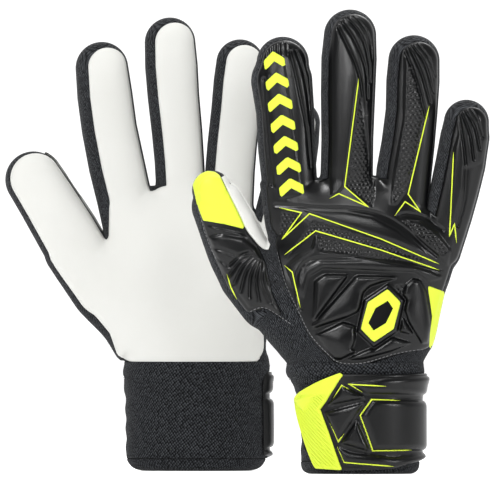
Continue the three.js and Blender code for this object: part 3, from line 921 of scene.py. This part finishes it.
def emboss():
    """Chart of the embossing of the back, drawn on the right glove."""
    step = 0.3
    x0, x1, z0, z1 = limits_of(RIGHT, 60)
    x, z = np.meshgrid(np.arange(x0, x1, step), np.arange(z0, z1, step), indexing="ij")
    pads, crown, trench = np.zeros(x.shape), np.zeros(x.shape), np.zeros(x.shape)
    base = polygon_field(MARK_BASE, x, z)
    for points, height, shoulder in PADS:
        m = near_box(points, x, z, 3)
        s = np.minimum(polygon_field(points, x[m], z[m]), -base[m] - 1.3)
        pads[m] = np.maximum(pads[m], FLAT_SHARE * height * rim(s, shoulder))
        crown[m] = np.maximum(crown[m], CROWN_SHARE * height * smooth(0, 3.5 * shoulder, s))
        trench[m] = np.maximum(trench[m], TRENCH_SHARE * height * np.exp(-((s + 0.6) / 0.8) ** 2))
    out = blurred(pads, 2) + blurred(crown, 5) - blurred(trench * (pads < 0.05), 2)
    # the mark stands on a flat of its own
    out = np.maximum(out, MARK_HEIGHT * rim(base + 0.3, 1.8))
    cut = np.zeros(x.shape)
    for points, depth, half in GROOVES:
        m = near_box(points, x, z, 4 * half)
        cut[m] = np.maximum(cut[m], depth * np.exp(-(line_field(points, x[m], z[m]) / half) ** 2))
    out -= cut
    for points in HEXES:
        m = near_box(points, x, z, 1)
        inside = smooth(-0.2, 0.8, polygon_field(points, x[m], z[m]))
        out[m] -= HONEYCOMB_DEPTH * inside * dimples(x[m], z[m])
    return x0, z0, step, np.maximum(out, -1.0)


EMBOSSED = emboss()


def relief(glove, x, z):
    """Embossing of the back: pads up, flex grooves down."""
    return sample(EMBOSSED, *transfer(glove, RIGHT, np.asarray(x, float), np.asarray(z, float)))


# Open mesh between the thumb and the hand, and the knit below the thumb's panel
OPEN_WEB = [(-59.6, 133.4), (-50.2, 136.3), (-47.3, 123.4), (-44.4, 111.6), (-36.1, 92.8), (-29.7, 79.3),
    (-33.2, 72.9), (-40.2, 81.7), (-44.9, 91.7), (-51.4, 106.3), (-54.9, 122.8)]
BELOW_THUMB = [(-72.6, 90.5), (-65.5, 93.7), (-55.5, 96.4), (-43.8, 89.6), (-35, 83.4), (-27.9, 71.7),
    (-40.8, 58.8), (-70.2, 74.6)]


def back_field(glove, x, z):
    """Millimetres inside the foam of the back."""
    s = panel_outline(glove, x, z, glove.back_inset, glove.back_loop)
    a, b = transfer(glove, RIGHT, x, z)
    for points in (ROLLED_EDGE, OPEN_WEB, BELOW_THUMB):
        loop = np.array(points)
        m = near_box(loop, a, b, 6)
        s[m] = np.minimum(s[m], -polygon_field(loop, a[m], b[m]))
    return s


def back_height(glove, x, z, s):
    body = half_depth(glove, x, z, outline(glove, x, z))
    return body - SUNK + (BACK_THICK + SUNK) * rim(s, 1.2) + relief(glove, x, z) * smooth(0.2, 2.5, s)


def build_back(glove, pitch):
    rows = (1.2, 0.8, 0.45, 0.2, 0.05, 0.0)
    sheet = cap(lambda x, z: back_field(glove, x, z), limits_of(glove), pitch, rows,
                lambda x, z, s: back_height(glove, x, z, s))
    lay(glove, "back", sheet, -1, FOAM, stands_for("back", "backhand"))


def top_of_back(glove, x, z):
    """Height of the back's outer surface, foam or fabric."""
    s = back_field(glove, x, z)
    return np.where(s > 0, back_height(glove, x, z, np.maximum(s, 0)),
                    half_depth(glove, x, z, np.maximum(outline(glove, x, z), 0)))


# Thin bright lines printed along the embossing, drawn on the right glove
LINES = [
    [(-0.9, 230.3), (-9.1, 167.4), (4.4, 155.7), (-12.6, 163.3), (-17.9, 160.4)],
    [(40.2, 214.4), (27.9, 163), (35, 152.8), (26.1, 158.6), (20, 150.4)],
    [(54.3, 187.4), (52, 138.7), (54.9, 145.7), (56.1, 134.5)],
    [(-47.3, 155.1), (-34.4, 152.2), (-45.5, 136.9), (-29.7, 151.6), (12, 136.9), (46.1, 122.2)],
    [(-44.4, 127.5), (-26.1, 141.6), (12, 130.4), (46.1, 118.7)],
    [(-44.4, 121.6), (-39.7, 117.5), (-35, 96.9)],
    [(-77.8, 116.3), (-75.5, 108.7), (-72, 101.6)],
]


def ribbon(points, width, step=0.9):
    """Four columns of points across a band that narrows at both ends and has mitred corners."""
    p = np.asarray(points, float)
    d = np.diff(p, axis=0)
    lengths = np.linalg.norm(d, axis=1)
    d /= lengths[:, None]
    n = np.stack([-d[:, 1], d[:, 0]], 1)
    total = lengths.sum()
    centre, side, run, widths = [], [], 0.0, []
    for i, length in enumerate(lengths):
        count = max(2, int(length / step))
        for k in range(count + (i == len(d) - 1)):
            t = k / count
            normal = n[i]
            if k == 0 and i:
                normal = n[i] + n[i - 1]
                normal = normal / np.linalg.norm(normal)
                normal = normal * min(2.2, 1 / max(0.35, normal @ n[i]))
            centre.append(p[i] + (p[i + 1] - p[i]) * t)
            side.append(normal)
            at = run + length * t
            widths.append(width * min(1, 0.25 + at / 6, 0.25 + (total - at) / 6))
        run += length
    c, across = np.array(centre), np.array(side) * np.array(widths)[:, None]
    return [c + across * part for part in (-0.5, -0.25, 0.25, 0.5)]


def ribbon_faces(rows):
    return [[j * rows + i, j * rows + i + 1, (j + 1) * rows + i + 1, (j + 1) * rows + i]
            for j in range(3) for i in range(rows - 1)]


def bands(lines, width, sunk, raised, surface):
    """Raised bands along lines; surface gives x, z and the height of what they lie on."""
    xs, zs, hs, faces, start = [], [], [], [], 0
    for line in lines:
        columns = ribbon(line, width)
        rows = len(columns[0])
        faces += [[v + start for v in f] for f in ribbon_faces(rows)]
        start += rows * len(columns)
        for c, lift in zip(columns, (sunk, raised, raised, sunk)):
            x, z, h = surface(*c.T)
            xs.append(x)
            zs.append(z)
            hs.append(h + lift)
    return (*map(np.concatenate, (xs, zs, hs)), faces)


def build_lines(glove):
    def surface(a, b):
        x, z = transfer(RIGHT, glove, a, b)
        return x, z, top_of_back(glove, x, z)

    x, z, h, faces = bands(LINES, 0.95, -0.25, 0.38, surface)
    split_to_bodies(glove, "piping", place(glove, x, -h, z), faces, x, z, [BRIGHT], {})


def build_bright(glove, name, fields, pitch, lift):
    """Raised bright shapes on the back; each field is drawn on the right glove."""
    def field(x, z):
        a, b = transfer(glove, RIGHT, x, z)
        return np.minimum(np.max([f(a, b) for f in fields], axis=0), outline(glove, x, z) - 0.05)

    def height(x, z, s):
        return top_of_back(glove, x, z) - 0.4 + (lift + 0.4) * rim(s, 0.7)

    sheet = cap(field, limits_of(glove), pitch, (0.7, 0.45, 0.2, 0.05, 0.0), height)
    lay(glove, name, sheet, -1, BRIGHT)


def area(points):
    """Field of a closed outline, for build_bright."""
    loop = np.array(points)

    def field(x, z):
        out = np.full(np.shape(x), -50.0)
        m = near_box(loop, x, z, 3)
        out[m] = polygon_field(loop, x[m], z[m])
        return out
    return field


def chevrons():
    """A column of slanted arrowheads up the index finger."""
    low, high = np.array([-40.0, 164.5]), np.array([-49.9, 238.5])
    up = (high - low) / np.linalg.norm(high - low)
    across = np.array([-up[1], up[0]])
    shapes = []
    for k in range(7):
        c = low + (high - low) * k / 6
        w = 7.2 if k < 5 else 6.8 if k == 5 else 6.2
        rise, thick = 5.0, 6.2
        shapes.append(area([c - across * w - up * thick / 2, c + up * (rise - thick / 2),
                            c + across * w - up * thick / 2, c + across * w + up * thick / 2,
                            c + up * (rise + thick / 2), c - across * w + up * thick / 2]))
    return shapes


def ring_mark():
    """An open hexagon in the middle of the backhand."""
    outer, inner = area(hexagon(9.7, 15.6)), area(hexagon(5.0, 8.5))
    return [lambda x, z: np.minimum(outer(x, z), -np.maximum(inner(x, z), -50))]


# Bright cap on the side of the thumb, and bright flash on the little-finger side of the back
THUMB_CAP = [(-97.8, 168), (-96.9, 172.1), (-94.6, 175.4), (-89.6, 176.8), (-84.9, 176.2), (-82, 174.2),
    (-76.1, 162.2), (-70.8, 151.6), (-66.4, 142.2), (-79, 145.4), (-91.7, 147.5), (-95.5, 157.5)]
SIDE_FLASH = [(39.1, 109.9), (50.8, 105.5), (49.1, 95.8), (46.7, 85.2), (43.2, 74), (40, 71.7),
    (40.5, 81.7), (41.7, 91.7)]


# ---------------------------------------------------------------- cuff and strap
# Cuff sections: height, middle, half width and half depth
LEFT.sections = [(0, -1.5, 32.5, 15.0), (0.7, -1.5, 35.5, 16.4), (1.8, -1.5, 37.6, 17.4),
                 (3.6, -1.5, 39.4, 18.3), (6, -1.5, 40.8, 18.9), (9, -1.5, 41.5, 19.2),
                 (24, -1.5, 41.6, 19.2), (44, -1.8, 41.7, 19.4), (56, -2.6, 42.4, 19.8),
                 (66.5, -3.6, 43.9, 20.4)]
RIGHT.sections = [(0, 0, 30.6, 20.0), (0.7, 0, 32.2, 21.2), (1.8, 0, 33.4, 22.1), (3.6, 0, 34.2, 22.8),
                  (6, 0, 34.6, 23.2), (24, 0, 34.4, 23.4), (42, -0.5, 34.8, 23.4), (50, -1.6, 36.8, 23.0),
                  (58, -2.7, 39.4, 22.5), (66.5, -3.6, 41.9, 22.0)]
# The oval that the strap lies on: middle, half width and half depth
LEFT.round = (-1.5, 42.3, 19.8)
RIGHT.round = (0.0, 34.9, 24.0)


def section(glove, z):
    """Middle, half width and half depth of the sleeve; its top is as wide as the wrist of the hand."""
    table = np.array(glove.sections)
    cx, a, b = [np.interp(z, table[:, 0], table[:, k]) for k in (1, 2, 3)]
    middle, half = glove.top
    part = smooth(50, 63, z)
    return cx + (middle - cx) * part, a + (half - a) * part, b


# Middle and half width of the sleeve's top edge, a little wider than the hand there
CUFF_TOP = 64.5
for glove in (LEFT, RIGHT):
    across = np.arange(-70, 70, 0.1)
    across = across[outline(glove, across, np.full(len(across), CUFF_TOP)) > 0]
    glove.top = ((across.min() + across.max()) / 2, (across.max() - across.min()) / 2 + 0.35)


def tube(glove, name, profile, nodes, skin):
    """A closed knitted ring; profile is a loop of (offset from the section, height)."""
    count = 200
    angle = np.linspace(0, 2 * np.pi, count, endpoint=False)
    verts = []
    for off, z in profile:
        cx, a, b = section(glove, z)
        fold = 0.3 * np.sin(z * 0.55 + 1.3 * np.sin(2 * angle + 0.4)) * smooth(6, 14, z)
        fold = fold - 0.5 * np.exp(-((z - 55) / 0.8) ** 2)
        x = cx + (a + off + fold) * np.cos(angle)
        y = (b + off + fold) * np.sin(angle)
        # the top of the sleeve opens out over the palm
        high = np.full(count, max(z, 62.0))
        under = half_depth(glove, x, high, np.maximum(outline(glove, x, high), 0))
        under = (under + np.where(y > 0, 2.0, 0.5)) * smooth(0.05, 0.5, outline(glove, x, high)) + off
        opening = smooth(50, 63, z)
        y = np.sign(y) * (np.abs(y) * (1 - opening) + np.maximum(np.abs(y), under) * opening)
        verts.append(place(glove, x, y, np.full(count, float(z))))
    verts = np.vstack(verts)
    faces = []
    n = len(profile)
    for i in range(n):
        k = (i + 1) % n
        for j in range(count):
            m = (j + 1) % count
            faces.append([i * count + j, i * count + m, k * count + m, k * count + j])
    faces = turn(faces, glove.sign < 0)
    masks = {"cloth_u": np.tile(angle * glove.rounded.a * 0.82, n),
             "cloth_v": np.repeat([z for _, z in profile], count)}
    obj = make_object(f"{glove.name}_{name}", verts, faces, [skin],
                      normals=vertex_normals(verts, faces), masks=masks)
    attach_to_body(obj, f"{glove.name}_hand")
    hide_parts(*[f"{glove.name}_{n}" for n in nodes])


def build_cuff(glove):
    outer = [(0.0, z) for z in np.arange(7.2, 63.6, 0.6)] + [(0.1, 63.7), (0.0, 64.2), (-0.5, CUFF_TOP)]
    inner = [(-2.2, z) for z in np.arange(64, 7.5, -3.0)]
    tube(glove, "cuff_sleeve", outer + inner, ["cuff"], KNIT)
    edge = [(-0.5, 7.15), (0.0, 6.9), *[(0.15, z) for z in (6.4, 5.4, 4.4, 3.5, 2.6)], (0.1, 1.8),
            (0.1, 1.2), (0.0, 0.7), (-0.1, 0.3), (-0.6, 0.02), (-1.6, 0.0), (-2.6, 0.5), (-3.2, 2.0),
            (-3.0, 5.0), (-2.6, 7.15)]
    tube(glove, "cuff_edge", edge, ["cuff_hem"], KNIT)


class Round:
    """Arc length round the back of the cuff, from the little-finger side."""

    def __init__(self, glove):
        self.cx, self.a, self.b = glove.round
        self.angles = np.radians(np.linspace(-30, 210, 1201))
        step = np.hypot(np.diff(self.a * np.cos(self.angles)), np.diff(self.b * np.sin(self.angles)))
        length = np.concatenate([[0], np.cumsum(step)])
        self.length = length - np.interp(0, self.angles, length)

    def arc(self, angle):
        """Arc length at an angle."""
        return np.interp(angle, self.angles, self.length)

    def angle(self, arc):
        """Angle at an arc length."""
        return np.interp(arc, self.length, self.angles)


# How far round its cuff each strap reaches, as a share of the right one, and the angle of its sewn end
RIGHT.wrap, LEFT.wrap = 1.0, 0.88
RIGHT.sewn, LEFT.sewn = -13, -21
RIGHT.rounded = Round(RIGHT)
LEFT.rounded = Round(LEFT)


def on_cuff(glove, points):
    """Drawing points of the right strap as (arc length, height) on either glove's cuff."""
    p = np.array(points, float)
    half = RIGHT.rounded.a + 2.6
    x = np.clip((p[:, 0] - RIGHT.rounded.cx) / half, -1, 1)
    beyond = np.maximum(p[:, 0] - RIGHT.rounded.cx - half, 0)
    return np.stack([glove.rounded.arc(np.arccos(x) * glove.wrap) - beyond, p[:, 1]], 1)


def strap_point(glove, arc, z, h):
    """Frame metres of a point h millimetres off the cuff, by arc length and height."""
    angle = glove.rounded.angle(arc)
    cx, a, b = section(glove, z)
    b = np.maximum(b, glove.rounded.b)
    return place(glove, cx + (a + 0.2 + h) * np.cos(angle), -(b + 0.2 + h) * np.sin(angle), z)


# Strap, its pads (outline, height, width of the shoulder), bright lines and tab, on the right cuff
STRAP = [(39.7, 58.5), (15, 57.9), (-7.3, 58.2), (-17.3, 54.1), (-37.3, 43.5), (-33.2, 24.7),
    (-26.7, 2.9), (-8.5, 2.1), (19.1, 2.9), (29.7, 5.6), (39.7, 9.4)]
STRAP_PADS = [
    ([(-18.5, 40), (-8.5, 51.7), (3.8, 44.4)], 2, 3),
    ([(-20.3, 35.5), (2.6, 41.7), (-13.2, 18.8)], 2.1, 3),
    ([(-11.2, 17.9), (-2.1, 31.1), (5.6, 13.2)], 2.1, 3),
    ([(0, 34.1), (7.1, 43.5), (23.8, 42.9), (47.3, 42.3), (47.3, 13.5), (7.1, 13.5)], 2.4, 3.6),
    ([(-4.4, 52.3), (15, 55.8), (47.3, 57.3), (47.3, 45.8), (23.8, 46.4), (4.4, 47)], 2, 3),
    ([(-13.8, 15.9), (-5.6, 12.3), (19.1, 9.4), (47.3, 12.9), (47.3, 8.2), (32.6, 5.3), (19.1, 3.5),
      (-9.7, 6.2)], 1.9, 3),
]
STRAP_LINES = [
    [(-15, 44.1), (-8.5, 51.7), (-5, 49.4)],
    [(-17.9, 29.4), (-13.2, 18.8), (-9.7, 23.5)],
    [(23.8, 42.9), (7.1, 43.5), (0, 34.1), (7.1, 13.5), (29.7, 13.8)],
    [(-13.8, 15.9), (-9.7, 6.8), (19.1, 4.4)],
    [(15, 51.1), (-4.4, 52.3), (2.4, 47.6)],
]
TAB = [(-38.2, 42.6), (-9.1, 58.5), (-3.8, 60.5), (-23.2, 37.6), (-10.9, 2.2), (-27, 3.1)]
# Height of the strap's underside off the cuff, and of the hook tape's
UNDER, HOOK_UNDER = 0.9, 0.45


def strap_relief(glove, arc, z):
    out = np.zeros(np.shape(arc))
    for points, height, shoulder in STRAP_PADS:
        out = np.maximum(out, height * rim(polygon_field(on_cuff(glove, points), arc, z), shoulder))
    return out


def strap_height(glove, arc, z, s):
    return UNDER + 1.0 * rim(s, 1.1) + strap_relief(glove, arc, z) * smooth(0, 1.6, s)


def closed_sheet(glove, name, sheet, under, skin, cad_node):
    """A strap piece with its own underside, sewn down at the little-finger side."""
    top = strap_point(glove, sheet["x"], sheet["z"], sheet["h"])
    low = strap_point(glove, sheet["x"], sheet["z"], np.full(len(sheet["x"]), under))
    verts, faces, _ = weld(np.vstack([top, low]), two_faced(glove, sheet["faces"], len(top)), [])
    obj = make_object(f"{glove.name}_{name}", verts, faces, [skin], normals=vertex_normals(verts, faces))
    follow_strap(glove, obj)
    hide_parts(f"{glove.name}_{cad_node}")
    return obj


def follow_strap(glove, obj):
    """Bakes the piece's placement into its mesh."""
    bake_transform(obj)


def build_strap(glove):
    r = glove.rounded
    loop = on_cuff(glove, STRAP)
    # the sewn end runs on round the little-finger side
    loop[[0, -1], 0] = r.arc(math.radians(glove.sewn))
    limits = (r.arc(math.radians(-28)), r.arc(math.radians(190)), 0, 62)
    sheet = cap(lambda x, z: polygon_field(loop, x, z), limits, 0.75, (1.1, 0.7, 0.4, 0.15, 0.03, 0.0),
                lambda x, z, s: strap_height(glove, x, z, s))
    strap = closed_sheet(glove, "wrist_strap", sheet, UNDER, FOAM, "strap")

    tab = on_cuff(glove, TAB)
    raised = on_cuff(glove, [(-37, 42.3), (-24.7, 46.1), (-32.2, 36.4)])

    def tab_height(x, z, s):
        triangle = polygon_field(raised, x, z)
        slanted = (x - z) * math.sqrt(0.5)
        ribs = 0.5 * np.sin(slanted * 3.9) * smooth(0.8, 2.4, s) * (1 - smooth(-1, 0, triangle))
        return UNDER + 1.3 + 0.9 * rim(s, 0.9) + ribs * (z < 46) + 0.8 * rim(triangle, 1.2)

    sheet = cap(lambda x, z: polygon_field(tab, x, z), limits, 0.4, (0.9, 0.6, 0.3, 0.1, 0.0), tab_height)
    closed_sheet(glove, "strap_pull", sheet, UNDER + 0.6, BRIGHT, "strap_tab")

    hook = np.array([[r.arc(math.radians(a)), z] for a, z in ((120, 14), (158, 14), (158, 46), (120, 46))])
    sheet = cap(lambda x, z: polygon_field(hook, x, z), limits, 1.0, (0.5, 0.2, 0.0),
                lambda x, z, s: np.full(np.shape(x), UNDER - 0.05))
    closed_sheet(glove, "hook_tape", sheet, HOOK_UNDER, HOOK, "hook_patch")

    def surface(x, z):
        return x, z, strap_height(glove, x, z, polygon_field(loop, x, z))

    x, z, h, faces = bands([on_cuff(glove, line) for line in STRAP_LINES], 0.9, -0.2, 0.32, surface)
    lines = make_object(f"{glove.name}_strap_piping", strap_point(glove, x, z, h), faces, [BRIGHT])
    follow_strap(glove, lines)


def build_spines(glove):
    """Flexible spines inside the finger backs."""
    half_wide, thick, below_skin = 4, 1.2, 3.0
    ring = [(-half_wide, 0), (half_wide, 0), (half_wide, thick), (-half_wide, thick)]
    for k, f in enumerate(FINGERS):
        axis, tip, _ = glove.axes[f]
        along = glove.along[f]
        n = 24
        d = np.linspace(3, np.hypot(*(np.array(tip) - axis)) - 15, n)
        xc, zc = axis[0] + along[0] * d, axis[1] + along[1] * d
        skin = half_depth(glove, xc, zc, outline(glove, xc, zc)) - below_skin
        verts = [place(glove, xc + along[1] * u, w - skin, zc - along[0] * u) for u, w in ring]
        faces = []
        for i in range(n - 1):
            for c in range(4):
                e = (c + 1) % 4
                faces.append([c * n + i, e * n + i, e * n + i + 1, c * n + i + 1])
        faces += [[0, 3 * n, 2 * n, n], [n - 1, 2 * n - 1, 3 * n - 1, 4 * n - 1]]
        obj = make_object(f"{glove.name}_{f}_spine", np.vstack(verts), turn(faces, glove.sign > 0), [STAY])
        attach(glove, obj, k + 1)
        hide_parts(f"{glove.name}_{f}_stay")


def stitch_run(points, heights, spot, spacing, length, thick):
    """Small rounded stitches lying along a line; spot turns (x, z, height) into frame metres."""
    line = rounded_line(np.asarray(points, float), 0.3)[:, :2]
    run = np.concatenate([[0], np.cumsum(np.linalg.norm(np.diff(line, axis=0), axis=1))])
    starts = np.arange(spacing / 2, run[-1] - length, spacing)
    verts, faces = [], []
    shape = ((0, 0.4), (0.15, 0.9), (0.5, 1.0), (0.85, 0.9), (1, 0.4))
    sides = 6
    for start in starts:
        rings = []
        for t, r in shape:
            at = start + t * length
            c = np.array([np.interp(at, run, line[:, k]) for k in (0, 1)])
            d = np.array([np.interp(at + 0.3, run, line[:, k]) for k in (0, 1)]) - c
            d /= np.linalg.norm(d) + 1e-9
            side = np.array([-d[1], d[0]])
            sink = -0.3 if t in (0, 1) else 0.0
            for a in np.radians(np.arange(0, 360, 360 / sides)):
                lift = math.sin(a) * thick * r * 0.8 + sink + thick * 0.3
                rings.append((*(c + side * math.cos(a) * thick * r), lift))
        base = len(verts)
        verts += rings
        last = base + (len(shape) - 1) * sides
        for row in range(base, last, sides):
            for j in range(sides):
                m = (j + 1) % sides
                faces.append([row + j, row + m, row + sides + m, row + sides + j])
        faces += [list(range(base, base + sides))[::-1], list(range(last, last + sides))]
    v = np.array(verts)
    h = heights(v[:, 0], v[:, 1])
    return spot(v[:, 0], v[:, 1], h + v[:, 2]), faces, v[:, 0], v[:, 1]


# Rows of stitches along the seams of the back, drawn on the right glove
STITCHES = [
    [(-48.8, 130.4), (-43.8, 111.6), (-35.5, 93.4), (-29.1, 81.1), (-19.1, 69.9), (-12, 64.9),
     (1.5, 64.6), (20, 69.9), (37.9, 72.9)],
    [(-65.5, 94), (-55.5, 96.6), (-39.1, 86.4)],
    [(-96.1, 165.1), (-93.7, 151.6), (-88.4, 134.5), (-83.1, 123.4)],
]


def build_stitches(glove):
    verts, faces, xs, zs = [], [], [], []
    for line in STITCHES:
        x, z = transfer(RIGHT, glove, *rounded_line(line, 2).T)
        v, f, x, z = stitch_run(np.stack([x, z], 1), lambda a, b: top_of_back(glove, a, b),
                                lambda a, b, h: place(glove, a, -h, b), 2.3, 1.7, 0.27)
        faces += [[k + sum(map(len, verts)) for k in face] for face in f]
        verts.append(v)
        xs.append(x)
        zs.append(z)
    verts = np.vstack(verts)
    split_to_bodies(glove, "stitches", verts, turn(faces, glove.sign > 0), np.concatenate(xs),
                    np.concatenate(zs), [THREAD], {})

    # a row of stitches round the front of the sleeve, measured along a circle as wide as the cuff
    radius, height = 40, 55.0

    def on_sleeve(run, z, h):
        cx, a, b = section(glove, height)
        return place(glove, cx + (a + h) * np.cos(run / radius), (b + h) * np.sin(run / radius), z)

    ends = np.array([[radius * math.radians(a), height] for a in (4, 90, 176)])
    v, f, _, _ = stitch_run(ends, lambda a, b: np.full(np.shape(a), -0.1), on_sleeve, 2.6, 1.7, 0.22)
    obj = make_object(f"{glove.name}_sleeve_stitches", v, turn(f, glove.sign < 0), [DARK_THREAD])
    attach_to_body(obj, f"{glove.name}_hand")


HOOK = material("hook_tape", (0.01, 0.01, 0.011), 0.85, foam_build, 0.15)
THREAD = material("thread", (0.16, 0.16, 0.165), 0.7, None, 0.3)
DARK_THREAD = material("dark_thread", (0.035, 0.036, 0.04), 0.8, None, 0.2)
STAY = material("stay", (0.6, 0.63, 0.65), 0.4)

for glove in (LEFT, RIGHT):
    build_body(glove)
    build_latex(glove)
    build_roll(glove)
    build_back(glove, 0.5 if glove is RIGHT else 0.7)
    build_lines(glove)
    for name, fields, lift in (
            ("index_arrows", chevrons(), 0.55), ("back_mark", ring_mark(), 0.55),
            ("thumb_cap", [area(THUMB_CAP)], 0.5), ("side_flash", [area(SIDE_FLASH)], 0.5)):
        build_bright(glove, name, fields, 0.6 if glove is RIGHT else 0.9, lift)
    build_cuff(glove)
    build_strap(glove)
    build_spines(glove)
    build_stitches(glove)


# ---------------------------------------------------------------- floor, light, camera
def build_floor(half, z):
    """A pale floor that glows a little, so that it stays white under the gloves."""
    corners = [(-half, -half, z), (half, -half, z), (half, half, z), (-half, half, z)]
    skin = material("floor", (0.9, 0.9, 0.9), 0.9, None, 0.1)
    surface = skin.node_tree.nodes["Principled BSDF"]
    surface.inputs["Emission Color"].default_value = (1, 1, 1, 1)
    surface.inputs["Emission Strength"].default_value = 0.35
    mesh = bpy.data.meshes.new("floor")
    mesh.from_pydata(corners, [], [(0, 1, 2, 3)])
    mesh.materials.append(skin)
    obj = bpy.data.objects.new("floor", mesh)
    bpy.context.scene.collection.objects.link(obj)


build_floor(15, -0.0002)

scene = bpy.context.scene
world = bpy.data.worlds.new("studio")
world.use_nodes = True
tree = world.node_tree
background = tree.nodes["Background"]
background.inputs["Color"].default_value = (1, 1, 1, 1)
# the studio is white behind the gloves and dimmer in front of them
direction = tree.nodes.new("ShaderNodeTexCoord")
axes = tree.nodes.new("ShaderNodeSeparateXYZ")
tree.links.new(direction.outputs["Generated"], axes.inputs["Vector"])
level = tree.nodes.new("ShaderNodeMapRange")
for key, value in (("From Min", -0.6), ("From Max", 0.5), ("To Min", 0.06), ("To Max", 1.0)):
    level.inputs[key].default_value = value
tree.links.new(axes.outputs["Y"], level.inputs["Value"])
tree.links.new(level.outputs["Result"], background.inputs["Strength"])
scene.world = world
scene.view_settings.view_transform = "Standard"
scene.view_settings.look = "Medium High Contrast"


def area_light(name, where, towards, size, power):
    data = bpy.data.lights.new(name, "AREA")
    data.size = size
    data.energy = power
    obj = bpy.data.objects.new(name, data)
    obj.location = where
    obj.rotation_euler = (Vector(towards) - Vector(where)).to_track_quat("-Z", "Y").to_euler()
    scene.collection.objects.link(obj)


for light in (("key", (-0.7, -1.1, 1.6), (0, 0, 0.13), 0.5, 20),
              ("front", (-0.5, -1.6, 0.7), (0, 0, 0.15), 0.35, 4),
              ("fingers", (0.07, -0.42, 0.325), (0.06, -0.05, 0.22), 0.09, 0.3),
              ("fill", (1.3, -1.2, 0.5), (0, 0, 0.13), 0.3, 6),
              ("top", (0.2, 0.1, 1.9), (0, 0, 0.15), 0.6, 7),
              ("rim", (0.5, 1.4, 1.4), (0, 0, 0.15), 0.8, 5)):
    area_light(*light)

camera_data = bpy.data.cameras.new("camera")
camera_data.sensor_width = 36
distance, picture_width = 9.0, 0.29375
camera_data.lens = camera_data.sensor_width * distance / picture_width
camera_data.clip_end = 100
camera = bpy.data.objects.new("camera", camera_data)
camera.location = (RIGHT.cx / 1000 - 0.06433, -distance, 0.13043)
camera.rotation_euler = (math.radians(90), 0, 0)
scene.collection.objects.link(camera)
scene.camera = camera
